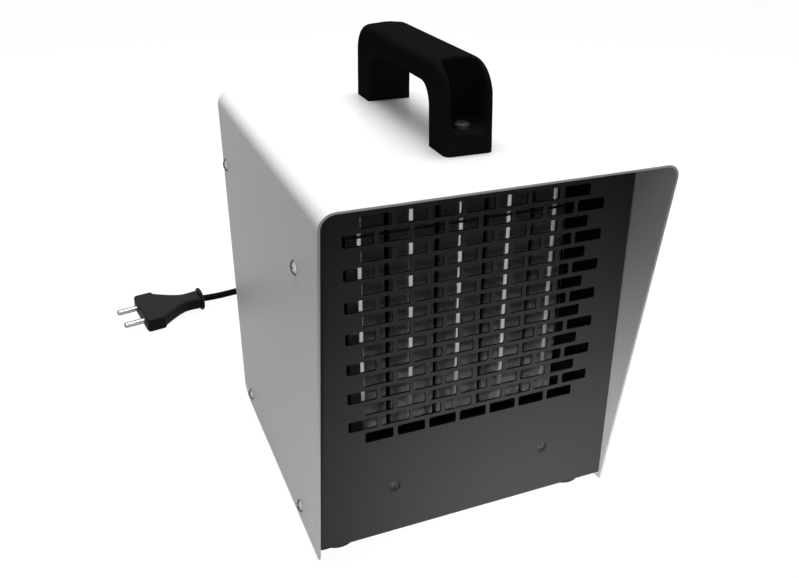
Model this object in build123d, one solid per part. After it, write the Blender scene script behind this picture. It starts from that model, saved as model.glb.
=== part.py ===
"""Portable forced air heater: a folded steel cover over a chassis that holds a finned heating element,
an axial fan, two rotary controls at the back and a mains lead with a two-pin plug.

Millimetres. X is across the front, -Y is the front with the outlet grille, +Z is up. Z = 0 is the floor
under the feet, and the origin is in the middle of the heater's own plan.
"""
import os
from math import atan2, ceil, cos, degrees, pi, radians, sin, tan

from build123d import *

# ---------------------------------------------------------------- folded steel cover
cover_width = 200.0
cover_height = 236.7
cover_depth_top = 233.0        # the top reaches forward as a hood over the outlet
cover_depth_bottom = 198.0
cover_sheet = 1.5
cover_bend = 9.0               # outside radius of the two top bends
cover_floor_gap = 6.3          # lower edge of the cover over the floor
cover_corner_cut = (10.0, 6.7) # off each side's lower rear corner, along Y and Z
fit_gap = 0.3                  # between sheets that lie on each other

rear_y = cover_depth_top / 2
front_top_y = rear_y - cover_depth_top
front_bottom_y = rear_y - cover_depth_bottom
cover_top_z = cover_floor_gap + cover_height
cover_inner_top = cover_top_z - cover_sheet
cover_inner_half = cover_width / 2 - cover_sheet

# ---------------------------------------------------------------- chassis of thinner sheet
chassis_sheet = 1.2
foot_height = 12.5             # underside of the base over the floor
base_wall_height = 15.5
base_front_height = 44.0
panel_recess = 0.5             # front panel behind the cover's lower front corner
panel_return = 22.0            # side flanges of the front panel
rear_bay_depth = 20.0          # the rear panel stands this far inside the cover's rear edge
flange_short = 11.0            # side flanges stop this far under the cover's top

base_z = foot_height
base_top = base_z + chassis_sheet
chassis_half = cover_inner_half - fit_gap
chassis_top = cover_inner_top - fit_gap
chassis_bend = cover_bend - cover_sheet - fit_gap
panel_front_y = front_bottom_y + panel_recess
panel_back_y = panel_front_y + chassis_sheet
rear_panel_y = rear_y - rear_bay_depth          # outer face of the rear panel
rear_panel_inner_y = rear_panel_y - chassis_sheet
base_front_y = panel_back_y + fit_gap
base_back_y = rear_panel_inner_y - fit_gap
flange_bottom = base_z + base_wall_height + fit_gap
flange_top = cover_top_z - flange_short

# ---------------------------------------------------------------- outlet and intake slots
outlet_slot = (17.2, 6.9)
outlet_pitch = (19.85, 9.54)
outlet_rows = 15
outlet_columns = 8             # in the wide rows, one less in the rows between
outlet_drop = 20.7             # from the panel's upper edge to the middle of the top row
outlet_top_z = chassis_top - outlet_drop
intake_slot = (36.0, 5.5)
intake_pitch = (41.0, 12.0)
intake_rows = 9
intake_columns = 3

# ---------------------------------------------------------------- screws
side_screw_head = 7.6
side_screw_dome = 2.3
side_screw_shank = 3.6
side_screw_length = 8.0
side_screw_drop = 48.0         # upper side screws under the cover's top
side_screw_low_z = 18.5
high_front_inset = 14.0        # side screws behind the cover's lower front corner
low_front_inset = 37.5
high_rear_inset = 10.0         # before the cover's rear edge
low_rear_inset = 5.0           # before the rear panel
side_screws_high = [(y, cover_top_z - side_screw_drop)         # (y, z) on each side
                    for y in (front_bottom_y + high_front_inset, rear_y - high_rear_inset)]
side_screws_low = [(y, side_screw_low_z)
                   for y in (front_bottom_y + low_front_inset, rear_panel_y - low_rear_inset)]
small_screw_head = 6.2
small_screw_dome = 1.8
small_screw_shank = 3.0
small_screw_length = 6.0
panel_screw_x = 50.5
panel_screw_z = 46.5
rear_screw_inset = 10.2
rear_screw_x = chassis_half - rear_screw_inset
rear_screw_z = 20.5
screw_clearance = 0.2          # of a shank in its hole, on the radius

# ---------------------------------------------------------------- carrying handle
handle_length = 146.0
handle_rear_inset = 108.5      # the handle's middle before the cover's rear edge
handle_middle_y = rear_y - handle_rear_inset
handle_width = 29.0
handle_height = 49.0           # at the middle of the crowned grip
handle_crown = 1.9             # the grip's long edges lie this much lower
handle_crown_flat = 11.0       # width of the crown's level middle
handle_grip_thick = 15.7
handle_leg = 24.0
handle_leg_lean = 2.5          # a leg's outer face leans in by this over its height
handle_outer_corner = 19.0
handle_inner_corner = 11.0
handle_edge = 2.4
handle_screw_inset = 11.0      # from the legs' outer ends
handle_screw_spacing = handle_length - 2 * handle_screw_inset
pocket_width = 21.0            # scoop in each leg's outer face, down to the ledge that the screw sits on
pocket_ledge = 12.0
pocket_wall = 4.4              # left behind the scoop
handle_screw = 5.0
handle_screw_head = 9.0
handle_screw_head_height = 3.4
handle_screw_length = 24.0
handle_nut_flats = 8.0
handle_nut_thick = 4.0

# ---------------------------------------------------------------- feet
foot_diameter = 28.0
foot_tip_diameter = 26.0
foot_side_inset = 18.0
foot_front_inset = 24.0        # behind the cover's lower front corner
foot_rear_inset = 17.0         # before the rear panel
foot_x = cover_width / 2 - foot_side_inset
foot_front_y = front_bottom_y + foot_front_inset
foot_rear_y = rear_panel_y - foot_rear_inset
foot_screw = 4.0
foot_screw_head = 7.8
foot_recess = 9.0
foot_recess_depth = 5.0
foot_nut_flats = 7.0
foot_nut_thick = 3.2

# ---------------------------------------------------------------- heating element
element_low = 79.0             # lower ends of the fins, over the controls and their wiring
duct_head_room = 14.3          # between the duct's roof and the cover, for the handle's screws and nuts
duct_gap = 0.3                 # between the element's frames and the duct
end_frame_height = 9.7
cutout_body = (12.5, 30.0, 32.0)
cutout_clear = 3.5             # between the cut-out and the cover's side
element_side_room = 12.5       # between the fins and the duct's side, for the springs
element_set_back = 25.0        # behind the cover's lower front corner
element_depth = 24.0
tube_count = 5
tube_thick = 2.6
fin_edge = 7.5                 # from the outer tubes' middles to the element's sides

element_high = cover_inner_top - duct_head_room - chassis_sheet - duct_gap - end_frame_height
element_height = element_high - element_low
element_z = (element_low + element_high) / 2                   # also the fan's axis
duct_half_width = cover_inner_half - cutout_clear - cutout_body[0] - fit_gap - chassis_sheet
element_half_width = duct_half_width - element_side_room
element_front_y = front_bottom_y + element_set_back
tube_pitch = 2 * (element_half_width - fin_edge) / (tube_count - 1)

fin_split = 16.6               # from a tube's middle to the middle of the air split at its right
fin_split_width = 3.2
fin_sheet = 0.5
fin_inset = 0.8                # behind the tubes' front edges
fin_waves = 7
end_frame_wall = 1.6
end_frame_groove = 5.0
terminal_blade = 6.3
terminal_thick = 0.8
terminal_length = 10.5
capillary_diameter = 1.3
capillary_drop = 14.2          # under the fins' upper ends
capillary_z = element_high - capillary_drop
capillary_stand_off = 0.6      # in front of the tubes
cutout_blade = 9.0
spring_leaf = 0.8
spring_bow = 3.4
spring_flat = 40.0
spring_inset = 4.0             # from the element's front and back
spring_end = 0.5               # from the fins' ends

# ---------------------------------------------------------------- air duct and fan
duct_flange = 7.0
duct_screw_inset = 11.0        # of the flange's screws, from the duct's sides
fan_distance = 18.0            # from the element's back to the deck
fan_deck_y = element_front_y + element_depth + fan_distance    # rear face of the sheet that carries the fan
deck_side_gap = 8.2
deck_head_gap = 4.0
fan_deck_half = chassis_half - deck_side_gap
fan_deck_foot = 16.0
deck_screw_inset = 30.0        # of the foot's screws, from the deck's sides
deck_screw_reach = 9.0         # behind the deck
strap_screw_inset = 5.5
strap_screw_room = 9.3         # from the strap's leg to its screw
strap_clear = 7.0              # between the collar and the strap's legs
strap_screw_x = fan_deck_half - strap_screw_inset
fan_bore = 2 * (strap_screw_x - strap_screw_room - strap_clear - chassis_sheet)
fan_collar = 24.0
fan_tip_gap = 3.0
fan_diameter = fan_bore - 2 * fan_tip_gap
fan_blades = 7
fan_hub = 34.0
fan_hub_length = 24.0
fan_set_back = 6.5             # of the hub's front, behind the deck
fan_front_y = fan_deck_y + fan_set_back
blade_angle = 34.0             # of the chord against the fan's plane
blade_chord = 42.0
blade_root_half = 8.0          # half of the blade's width at the hub, seen along the axis
blade_camber = 3.0
blade_thick = 1.6

# ---------------------------------------------------------------- fan motor
shaft_diameter = 5.0
running_gap = 0.05             # on the radius, in the bearings
strap_stand_off = 14.5         # behind the collar
strap_y = fan_deck_y + fan_collar + strap_stand_off
strap_height = 18.0
strap_thick = 1.5
strap_end_gap = 1.0            # from the deck's sides
bracket_depth = 12.0
bracket_bar = 4.0
stack_length = 20.0
stack_half_width = 32.0
stack_over_axis = 21.0
stack_under_axis = 44.0
stack_leg = 10.0
window_half_width = 19.0
window_height = 16.0
rotor_diameter = 30.6
rotor_gap = 0.5
coil_half_width = 17.5
coil_wall = 8.0
boss_diameter = 16.0
bush_diameter = 9.0
bush_length = 6.0
motor_screw = 3.4
motor_screw_x = 26.0

# ---------------------------------------------------------------- controls on the rear panel
knob_diameter = 32.0
knob_height = 17.0
knob_skirt = 4.0
knob_cap = 26.0
knob_grip = 9.0                # thickness of the pointer bar that the fingers turn
knob_gap = 0.6                 # behind a knob
control_z = 52.0
selector_x = -45.0
thermostat_x = 8.0
control_body = 34.0
control_depth = 26.0
control_nose = 22.0
spindle_diameter = 6.0
spindle_flat = 1.4
spindle_clearance = 0.08
spindle_depth = 17.5

# ---------------------------------------------------------------- terminal block and wiring
block_size = (30.0, 20.0, 9.0)
block_x = 50.0
block_set_in = 47.3            # before the rear panel's inner face
block_y = rear_panel_inner_y - block_set_in
block_poles = 3
block_pitch = 10.0
wire_diameter = 2.4
wire_gap = 0.3                 # between a wire's end and its terminal
wire_hole = 14.0               # openings in the fan deck
wire_holes = (-21.0, 39.5)
wire_hole_z = 41.0

# ---------------------------------------------------------------- mains lead
lead_diameter = 6.0
lead_sides = 8
gland_x = 62.0
gland_z = 36.0
gland_collar = 15.0
gland_neck = 11.6
gland_length = 35.0
boot_start = 11.8
boot_end = 8.4
boot_ribs = 4
lead_floor_z = lead_diameter / 2 + 0.1
coil_outer = 40.3              # radius of the put-away coil's outermost turn, at the middle of the lead
coil_inner = 31.8
coil_turns = 5.125
coil_layers = 4
coil_biarcs = 2                # to a turn
coil_layer_pitch = 6.6
coil_centre = (21.7, 205.0)
plug_face = (-161.2, 267.1, 10.7)
plug_heading = 11.3            # of the plug's length in plan, from the pins towards the lead
plug_roll = 12.0
plug_width = 39.5
plug_thick = 14.5
plug_length = 54.4
plug_head = 14.0               # length of the head's straight sides
plug_neck = 13.4
plug_flange = 20.9
plug_flange_thick = 1.8
plug_edge = 3.2
pin_diameter = 4.8
pin_root = 3.8                 # of the part inside the plug
pin_length = 17.5
pin_spacing = 19.0
pin_seat = 8.0

parts = {}


# ================================================================ small helpers
def block(x0, x1, y0, y1, z0, z1):
    """A box between six faces, whichever way round each pair is given."""
    return Pos((x0 + x1) / 2, (y0 + y1) / 2, (z0 + z1) / 2) * Box(abs(x1 - x0), abs(y1 - y0), abs(z1 - z0))


def bar(radius, length, sides=0):
    """A round bar about its own middle along Z, or a prism of so many sides."""
    if sides:
        return Pos(0, 0, -length / 2) * extrude(RegularPolygon(radius, sides), length)
    return Cylinder(radius, length)


def bar_from(radius, length, sides):
    """A prism of so many sides that starts at its own origin and runs along +Z."""
    return Pos(0, 0, length / 2) * bar(radius, length, sides)


def rod_x(radius, x0, x1, y, z, sides=0):
    return Pos((x0 + x1) / 2, y, z) * Rot(0, 90, 0) * bar(radius, abs(x1 - x0), sides)


def rod_y(radius, y0, y1, x, z, sides=0):
    return Pos(x, (y0 + y1) / 2, z) * Rot(90, 0, 0) * bar(radius, abs(y1 - y0), sides)


def rod_z(radius, z0, z1, x, y, sides=0):
    return Pos(x, y, (z0 + z1) / 2) * bar(radius, abs(z1 - z0), sides)


def turned(profile, sides):
    """A turned piece along Z from (radius, height) steps, as short frustums of so many sides."""
    pieces = []
    for (r0, z0), (r1, z1) in zip(profile, profile[1:]):
        slope = degrees(atan2(abs(r0 - r1) * cos(pi / sides), z1 - z0))
        frustum = extrude(RegularPolygon(max(r0, r1), sides), z1 - z0, taper=slope)
        pieces.append(Pos(0, 0, z0) * frustum if r0 >= r1 else Pos(0, 0, z1) * Rot(180, 0, 0) * frustum)
    return pieces[0] + pieces[1:] if len(pieces) > 1 else pieces[0]


def facing(direction, x, y, z):
    """Location that turns a piece made along +Z to face along an axis."""
    turn = {"+x": (0, 90, 0), "-x": (0, -90, 0), "+y": (-90, 0, 0), "-y": (90, 0, 0),
            "+z": (0, 0, 0), "-z": (180, 0, 0)}[direction]
    return Pos(x, y, z) * Rot(*turn)


def plate_xz(sketch, y, thick):
    """A sketch drawn in X and Z, made a plate from y forwards by thick (towards -Y)."""
    return extrude(Plane.XZ.offset(-y) * sketch, thick)


def group(solids):
    """Separate solids that share one node."""
    return Compound(children=[solid for item in solids for solid in item.solids()])


def domed_screw(head, dome, shank, length):
    """A raised-head screw along +Z: the head's seat is at z = 0 and the shank points down."""
    return turned([(head / 2, 0), (head / 4, dome)], 8) + Pos(0, 0, -length / 2) * bar(shank / 2, length, 6)


def small_screw():
    return domed_screw(small_screw_head, small_screw_dome, small_screw_shank, small_screw_length)


def hex_screw():
    """Hexagon-head screw for the chassis's inner joints, made as the domed one is."""
    head = extrude(RegularPolygon(small_screw_head / 2, 6), small_screw_dome)
    return head + Pos(0, 0, -small_screw_length / 2) * bar(small_screw_shank / 2, small_screw_length, 6)


def side_screw():
    return domed_screw(side_screw_head, side_screw_dome, side_screw_shank, side_screw_length)


def brick_slots(rows, columns, pitch, top_z):
    """Centres (x, z) of slots in a brick pattern: the second row and every other one is the wide one."""
    spots = []
    for row in range(rows):
        count = columns if row % 2 else columns - 1
        spots += [((place - (count - 1) / 2) * pitch[0], top_z - row * pitch[1]) for place in range(count)]
    return spots


def grille_face(slot, spots):
    """Upright outline that fits inside the cover, with its slots, as a sketch in X and Z."""
    outline = Pos(0, (base_z + chassis_top) / 2) * Rectangle(2 * chassis_half, chassis_top - base_z)
    outline = fillet(outline.vertices().group_by(Axis.Y)[-1], chassis_bend)
    return outline - [Pos(x, z) * Rectangle(*slot) for x, z in spots]


def side_flanges(y0, y1):
    return [block(side * chassis_half, side * (chassis_half - chassis_sheet), y0, y1, flange_bottom, flange_top)
            for side in (-1, 1)]


def small_hole(direction, x, y, z, clearance=screw_clearance):
    """Hole for a small screw whose head's seat is at this point."""
    hole = RegularPolygon(small_screw_shank / 2 + clearance, 8, major_radius=False)
    return facing(direction, x, y, z) * extrude(hole, small_screw_length, both=True)


def side_holes(spots):
    reach = cover_width / 2 + 1
    radius = side_screw_shank / 2 + screw_clearance
    return [rod_x(radius, -reach, reach, y, z, sides=8) for y, z in spots]


# ================================================================ cover
def make_cover():
    """One sheet folded over the top and both sides, its front edges slanting forwards to the hood."""
    middle_z = cover_floor_gap + cover_height / 2
    outer = Pos(0, middle_z) * Rectangle(cover_width, cover_height)
    outer = fillet(outer.vertices().group_by(Axis.Y)[-1], cover_bend)
    inner = Pos(0, middle_z - cover_sheet / 2) * Rectangle(2 * cover_inner_half, cover_height - cover_sheet)
    inner = fillet(inner.vertices().group_by(Axis.Y)[-1], cover_bend - cover_sheet)
    shell = plate_xz(outer - inner, rear_y, cover_depth_top)
    beyond = front_top_y - 1
    slant = make_face(Polyline((front_bottom_y, cover_floor_gap), (front_top_y, cover_top_z),
                               (beyond, cover_top_z), (beyond, cover_floor_gap), close=True))
    cut_y, cut_z = rear_y - cover_corner_cut[0], cover_floor_gap + cover_corner_cut[1]
    corner = make_face(Polyline((cut_y, cover_floor_gap), (rear_y, cut_z), (rear_y, cover_floor_gap), close=True))
    shell -= extrude(Plane.YZ * slant, cover_width, both=True)
    shell -= extrude(Plane.YZ * corner, cover_width, both=True)
    shell -= side_holes(side_screws_high + side_screws_low)
    hole = handle_screw / 2 + screw_clearance
    shell -= [rod_z(hole, cover_inner_top - 1, cover_top_z + 1, 0, y, sides=8) for y in handle_screw_places()]
    return shell


# ================================================================ chassis
def make_base():
    """Tray with low walls all round and a taller front upstand that the lower panel screws hold."""
    wall_top = base_z + base_wall_height
    tray = block(-chassis_half, chassis_half, base_front_y, base_back_y, base_z, wall_top)
    front_inner = base_front_y + chassis_sheet
    tray += block(-foot_x, foot_x, base_front_y, front_inner, base_z, base_z + base_front_height)
    hollow = chassis_half - chassis_sheet
    tray -= block(-hollow, hollow, front_inner, base_back_y - chassis_sheet, base_top, wall_top + 1)
    tray -= side_holes(side_screws_low)
    hole = foot_screw / 2 + screw_clearance
    tray -= [rod_z(hole, base_z - 1, base_top + 1, x, y, sides=8) for x, y in foot_spots()]
    tray -= [small_hole(*spot) for spot in front_screw_spots() + rear_screw_spots() + deck_foot_spots()]
    return tray


def make_front_panel():
    """Slotted outlet panel with a folded flange at each side."""
    slots = brick_slots(outlet_rows, outlet_columns, outlet_pitch, outlet_top_z)
    panel = plate_xz(grille_face(outlet_slot, slots), panel_back_y, chassis_sheet)
    panel += side_flanges(panel_front_y, panel_front_y + panel_return)
    panel -= side_holes(side_screws_high[:1])
    return panel - [small_hole(*spot) for spot in front_screw_spots()]


def make_rear_panel():
    """Intake panel, set inside the cover's rear edge, with flanges that reach back."""
    top_row = element_z + (intake_rows - 1) / 2 * intake_pitch[1]
    slots = brick_slots(intake_rows, intake_columns, intake_pitch, top_row)
    panel = plate_xz(grille_face(intake_slot, slots), rear_panel_y, chassis_sheet)
    flange_end = rear_y - 2.0
    panel += side_flanges(rear_panel_inner_y, flange_end)
    panel += block(-chassis_half, chassis_half, rear_panel_inner_y, flange_end, base_z, base_top)
    panel -= side_holes(side_screws_high[1:])
    panel -= [small_hole(*spot) for spot in rear_screw_spots()]
    for x in (selector_x, thermostat_x):
        panel -= rod_y(spindle_diameter / 2 + 1.0, rear_panel_y - 5, rear_panel_y + 5, x, control_z, sides=12)
    hole = gland_neck / 2 + screw_clearance
    return panel - rod_y(hole, rear_panel_y - 5, rear_panel_y + 5, gland_x, gland_z, sides=12)


def front_screw_spots():
    return [("-y", x, panel_front_y, panel_screw_z) for x in (-panel_screw_x, panel_screw_x)]


def rear_screw_spots():
    return [("+y", x, rear_panel_y, rear_screw_z) for x in (-rear_screw_x, rear_screw_x)]


# ================================================================ fasteners
def make_side_screws():
    screws = []
    for direction, x in (("-x", -cover_width / 2), ("+x", cover_width / 2)):
        screws += [facing(direction, x, y, z) * side_screw() for y, z in side_screws_high + side_screws_low]
    return screws


def make_screws(screw, spots):
    return [facing(*spot) * screw for spot in spots]


# ================================================================ feet
def foot_spots():
    return [(x, y) for y in (foot_front_y, foot_rear_y) for x in (-foot_x, foot_x)]


def make_foot(x, y):
    """Rubber foot, a little wider at the base, with a recess for its screw."""
    base, tip = foot_diameter / 2, foot_tip_diameter / 2
    body = turned([(tip, 0), (base, foot_height)], 16)
    body -= Pos(0, 0, foot_recess_depth / 2) * bar(foot_recess / 2, foot_recess_depth, 8)
    body -= Pos(0, 0, foot_height / 2) * bar(foot_screw / 2 + screw_clearance, 2 * foot_height, 8)
    return Pos(x, y, 0) * body


def make_foot_screws():
    head = foot_recess_depth - 2.4
    top = base_top + foot_nut_thick + 1.8
    profile = [(foot_screw_head / 2, head), (foot_screw_head / 2, foot_recess_depth)]
    screws = []
    for x, y in foot_spots():
        screws.append(Pos(x, y, 0) * turned(profile, 8) + rod_z(foot_screw / 2, head, top, x, y, sides=6))
    return screws


def hex_nut(flats, thick, screw):
    nut = extrude(RegularPolygon(flats / 2, 6, major_radius=False), thick)
    return nut - Pos(0, 0, thick / 2) * bar(screw / 2 + running_gap, 2 * thick, 6)


def make_foot_nuts():
    nut = hex_nut(foot_nut_flats, foot_nut_thick, foot_screw)
    return [Pos(x, y, base_top) * nut for x, y in foot_spots()]


# ================================================================ handle
def handle_screw_places():
    half = handle_screw_spacing / 2
    return [handle_middle_y - half, handle_middle_y + half]


def arch(half_base, half_top, low, high, corner):
    """A trapezium in Y and Z about Y = 0, with its two upper corners rounded."""
    corners = [(-half_base, low), (-half_top, high), (half_top, high), (half_base, low)]
    face = make_face(Polyline(*corners, close=True))
    return fillet(face.vertices().group_by(Axis.Y)[-1], corner)


def crown_prism(reach):
    """Everything under the grip's crowned top: level in the middle, sloping to both long edges."""
    wide, flat = handle_width / 2, handle_crown_flat / 2
    low = handle_height - handle_crown
    top = [(-wide, low), (-flat, handle_height), (flat, handle_height), (wide, low)]
    face = make_face(Polyline((-wide, -1), *top, (wide, -1), close=True))
    return extrude(Plane.XZ * face, reach + 1, both=True)


def make_handle():
    """Bridge handle with leaning legs; a scoop in each leg's outer face lets the screw in."""
    half = handle_length / 2
    inner_half = half - handle_leg
    top = handle_height
    under = top - handle_grip_thick
    profile = arch(half, half - handle_leg_lean, 0, top, handle_outer_corner)
    profile -= arch(inner_half, inner_half - handle_leg_lean / 2, -1, under, handle_inner_corner)
    bridge = extrude(Plane.YZ * profile, handle_width / 2, both=True)
    sides = bridge.faces().group_by(Axis.X)
    edges = (sides[0].edges() + sides[-1].edges()).filter_by(lambda edge: edge.center().Z > 0.5)
    bridge = chamfer(edges, handle_edge) & crown_prism(half)
    for end in (-1, 1):
        bridge -= block(-pocket_width / 2, pocket_width / 2, end * (inner_half + pocket_wall), end * (half + 1),
                        pocket_ledge, top + 1)
        hole = handle_screw / 2 + screw_clearance
        bridge -= rod_z(hole, -1, pocket_ledge + 1, 0, end * handle_screw_spacing / 2, sides=8)
    return Pos(0, handle_middle_y, cover_top_z) * bridge


def make_handle_screws():
    seat = cover_top_z + pocket_ledge
    radius = handle_screw_head / 2
    height = handle_screw_head_height
    head = turned([(radius, 0), (radius, height - 1.0), (radius - 1.2, height)], 12)
    screw = head + Pos(0, 0, -handle_screw_length / 2) * bar(handle_screw / 2, handle_screw_length, 6)
    return [Pos(0, y, seat) * screw for y in handle_screw_places()]


def make_handle_nuts():
    z = cover_inner_top - handle_nut_thick
    nut = hex_nut(handle_nut_flats, handle_nut_thick, handle_screw)
    return [Pos(0, y, z) * nut for y in handle_screw_places()]


# ================================================================ heating element
element_back_y = element_front_y + element_depth
element_middle_y = element_front_y + element_depth / 2
tube_places = [(index - (tube_count - 1) / 2) * tube_pitch for index in range(tube_count)]
frame_lip = end_frame_wall + fit_gap


def make_tubes():
    """Flat aluminium tubes that hold the heating stones."""
    reach = end_frame_groove - fit_gap
    return [block(x - tube_thick / 2, x + tube_thick / 2, element_front_y, element_back_y,
                  element_low - reach, element_high + reach) for x in tube_places]


def fin_strip(x0, x1):
    """Corrugated strip between two faces: a zigzag of thin sheet, folded across the air stream."""
    step = (element_height - 2 * fin_sheet) / (2 * fin_waves)
    line = []
    for fold in range(2 * fin_waves + 1):
        line.append((x1 - fin_sheet if fold % 2 else x0, element_low + fin_sheet + fold * step))
    other_side = [(x + fin_sheet, z) for x, z in reversed(line)]
    fold = make_face(Polyline(*line, *other_side, close=True))
    return plate_xz(fold, element_back_y - fin_inset, element_depth - 2 * fin_inset)


def make_fins():
    """Two strips to each tube, with an open split between neighbours."""
    strips = []
    beside = tube_thick / 2 + running_gap
    for index, x in enumerate(tube_places):
        left = x - tube_pitch + fin_split + fin_split_width / 2 if index else -element_half_width
        right = x + fin_split - fin_split_width / 2 if index < tube_count - 1 else element_half_width
        strips += [fin_strip(left, x - beside), fin_strip(x + beside, right)]
    return strips


def make_end_frame(inner, outward):
    """Channel of heat-proof moulding that the tubes' ends stand in; outward is -1 below and 1 above."""
    half = element_half_width + frame_lip
    frame = block(-half, half, element_front_y - frame_lip, element_back_y + frame_lip,
                  inner, inner + outward * end_frame_height)
    frame -= block(-element_half_width, element_half_width, element_front_y - fit_gap, element_back_y + fit_gap,
                   inner - outward, inner + outward * end_frame_groove)
    for x in (-element_half_width - frame_lip, element_half_width + frame_lip):
        frame -= block(x - 1, x + 1, element_front_y - frame_lip - 1, element_back_y + frame_lip + 1,
                       inner - outward, inner + outward * 0.8)
    return frame - [small_hole(*spot, clearance=running_gap) for spot in element_screw_spots()]


def make_side_springs():
    """Bowed leaf springs at the element's two sides that clamp tubes and fins together."""
    springs = []
    ends = (element_low + spring_end, element_high - spring_end)
    flat = (element_z - spring_flat / 2, element_z + spring_flat / 2)
    for side in (-1, 1):
        near = side * (element_half_width + fit_gap)
        bow = side * (element_half_width + spring_bow)
        thick = side * spring_leaf
        inner = [(near, ends[0]), (bow, flat[0]), (bow, flat[1]), (near, ends[1])]
        outer = [(x + thick, z) for x, z in reversed(inner)]
        leaf = make_face(Polyline(*inner, *outer, close=True))
        springs.append(plate_xz(leaf, element_back_y - spring_inset, element_depth - 2 * spring_inset))
    return springs


def terminal_places():
    return tube_places[::2]


def make_terminals():
    """Blade terminals that stand out under the lower frame, through the duct's floor."""
    top = element_low - end_frame_height
    wide, thick = terminal_blade / 2, terminal_thick / 2
    y0, y1 = element_middle_y - thick, element_middle_y + thick
    return [block(x - wide, x + wide, y0, y1, top - terminal_length, top) for x in terminal_places()]


capillary_y = element_front_y - capillary_stand_off - capillary_diameter / 2
cutout_x = duct_half_width + chassis_sheet + fit_gap


def make_capillary():
    """Sensing tube of the overheat cut-out, across the outlet side of the element."""
    return rod_x(capillary_diameter / 2, -element_half_width, cutout_x, capillary_y, capillary_z, sides=8)


def cutout_blades():
    """X and Z of the cut-out's two blades, and Y of their ends."""
    y = element_front_y - 8 + cutout_body[1] + cutout_blade
    return [(cutout_x + 3.9, y, capillary_z + 7), (cutout_x + 3.9, y, capillary_z - 7)]


def make_cutout():
    """Overheat cut-out on the duct's side."""
    wide, deep, high = cutout_body
    y0 = element_front_y - 8
    body = block(cutout_x, cutout_x + wide, y0, y0 + deep, capillary_z - high / 2, capillary_z + high / 2)
    body = chamfer(body.edges().filter_by(Axis.Y), 2.0)
    for x, y, z in cutout_blades():
        body += block(x - 0.4, x + 0.4, y - cutout_blade, y, z - terminal_blade / 2, z + terminal_blade / 2)
    return body


# ================================================================ duct and fan deck
duct_reach = element_height / 2 + end_frame_height + duct_gap
duct_back_y = fan_deck_y - chassis_sheet - fit_gap
duct_outer = duct_reach + chassis_sheet


def duct_flange_spots():
    """Screws through the duct's rear flanges into the fan deck."""
    half, reach = duct_outer + duct_flange / 2, duct_half_width - duct_screw_inset
    y = duct_back_y - chassis_sheet
    return [("-y", x, y, element_z + z) for x in (-reach, reach) for z in (-half, half)]


def element_screw_spots():
    """Screws through the duct's floor and roof into the element's end frames."""
    between = tube_places[-1] - tube_pitch / 2
    return [(way, x, element_middle_y, element_z + z) for x in (-between, between)
            for way, z in (("-z", -duct_outer), ("+z", duct_outer))]


def deck_foot_spots():
    reach = fan_deck_half - deck_screw_inset
    return [("+z", x, fan_deck_y + deck_screw_reach, base_top + chassis_sheet) for x in (-reach, reach)]


def strap_screw_spots():
    return [("+y", x, fan_deck_y + strap_thick, element_z) for x in (-strap_screw_x, strap_screw_x)]


def make_duct():
    """Box of sheet from the outlet panel to the fan deck, round the element."""
    wide = duct_half_width + chassis_sheet
    duct = block(-wide, wide, base_front_y, duct_back_y, element_z - duct_outer, element_z + duct_outer)
    flange = duct_outer + duct_flange
    duct += block(-wide, wide, duct_back_y - chassis_sheet, duct_back_y, element_z - flange, element_z + flange)
    duct -= block(-duct_half_width, duct_half_width, base_front_y - 1, duct_back_y + 1,
                  element_z - duct_reach, element_z + duct_reach)
    duct -= rod_x(capillary_diameter / 2 + screw_clearance, 0, wide + 5, capillary_y, capillary_z, sides=8)
    for x in terminal_places():
        duct -= block(x - terminal_blade, x + terminal_blade, element_middle_y - 3, element_middle_y + 3,
                      element_z - duct_outer - 1, element_z - duct_reach + 1)
    return duct - [small_hole(*spot) for spot in duct_flange_spots() + element_screw_spots()]


def make_fan_deck():
    """Upright sheet with the fan's round collar and a foot on the base."""
    front = fan_deck_y - chassis_sheet
    deck = block(-fan_deck_half, fan_deck_half, front, fan_deck_y, base_top, cover_inner_top - deck_head_gap)
    foot_end = fan_deck_y + fan_deck_foot
    deck += block(-fan_deck_half, fan_deck_half, front, foot_end, base_top, base_top + chassis_sheet)
    deck += rod_y(fan_bore / 2 + chassis_sheet, fan_deck_y, fan_deck_y + fan_collar, 0, element_z, sides=32)
    deck -= rod_y(fan_bore / 2, front - 1, fan_deck_y + fan_collar + 1, 0, element_z, sides=32)
    deck -= [rod_y(wire_hole / 2, front - 1, fan_deck_y + 1, x, wire_hole_z, sides=8) for x in wire_holes]
    return deck - [small_hole(*spot) for spot in duct_flange_spots() + deck_foot_spots() + strap_screw_spots()]


def fan_blade():
    """One cambered blade of bent sheet out of the hub along +X, wider at its tip; the fan's axis is Z here."""
    root = fan_hub / 2 - 1.5
    tip = ((fan_diameter / 2) ** 2 - (blade_chord / 2) ** 2) ** 0.5
    half = blade_chord / 2
    line = [(-half, 0), (-half / 3, blade_camber), (half / 3, blade_camber), (half, 0)]
    band = make_face(Polyline(*line, *[(x, y - blade_thick) for x, y in reversed(line)], close=True))
    along = (0, cos(radians(blade_angle)), sin(radians(blade_angle)))
    sheet = extrude(Plane(origin=(root, 0, 0), x_dir=along, z_dir=(1, 0, 0)) * band, tip - root)
    corners = [(root - 1, -blade_root_half), (tip, -half), (tip, half), (root - 1, blade_root_half)]
    return sheet & extrude(make_face(Polyline(*corners, close=True)), fan_hub_length, both=True)


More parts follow.
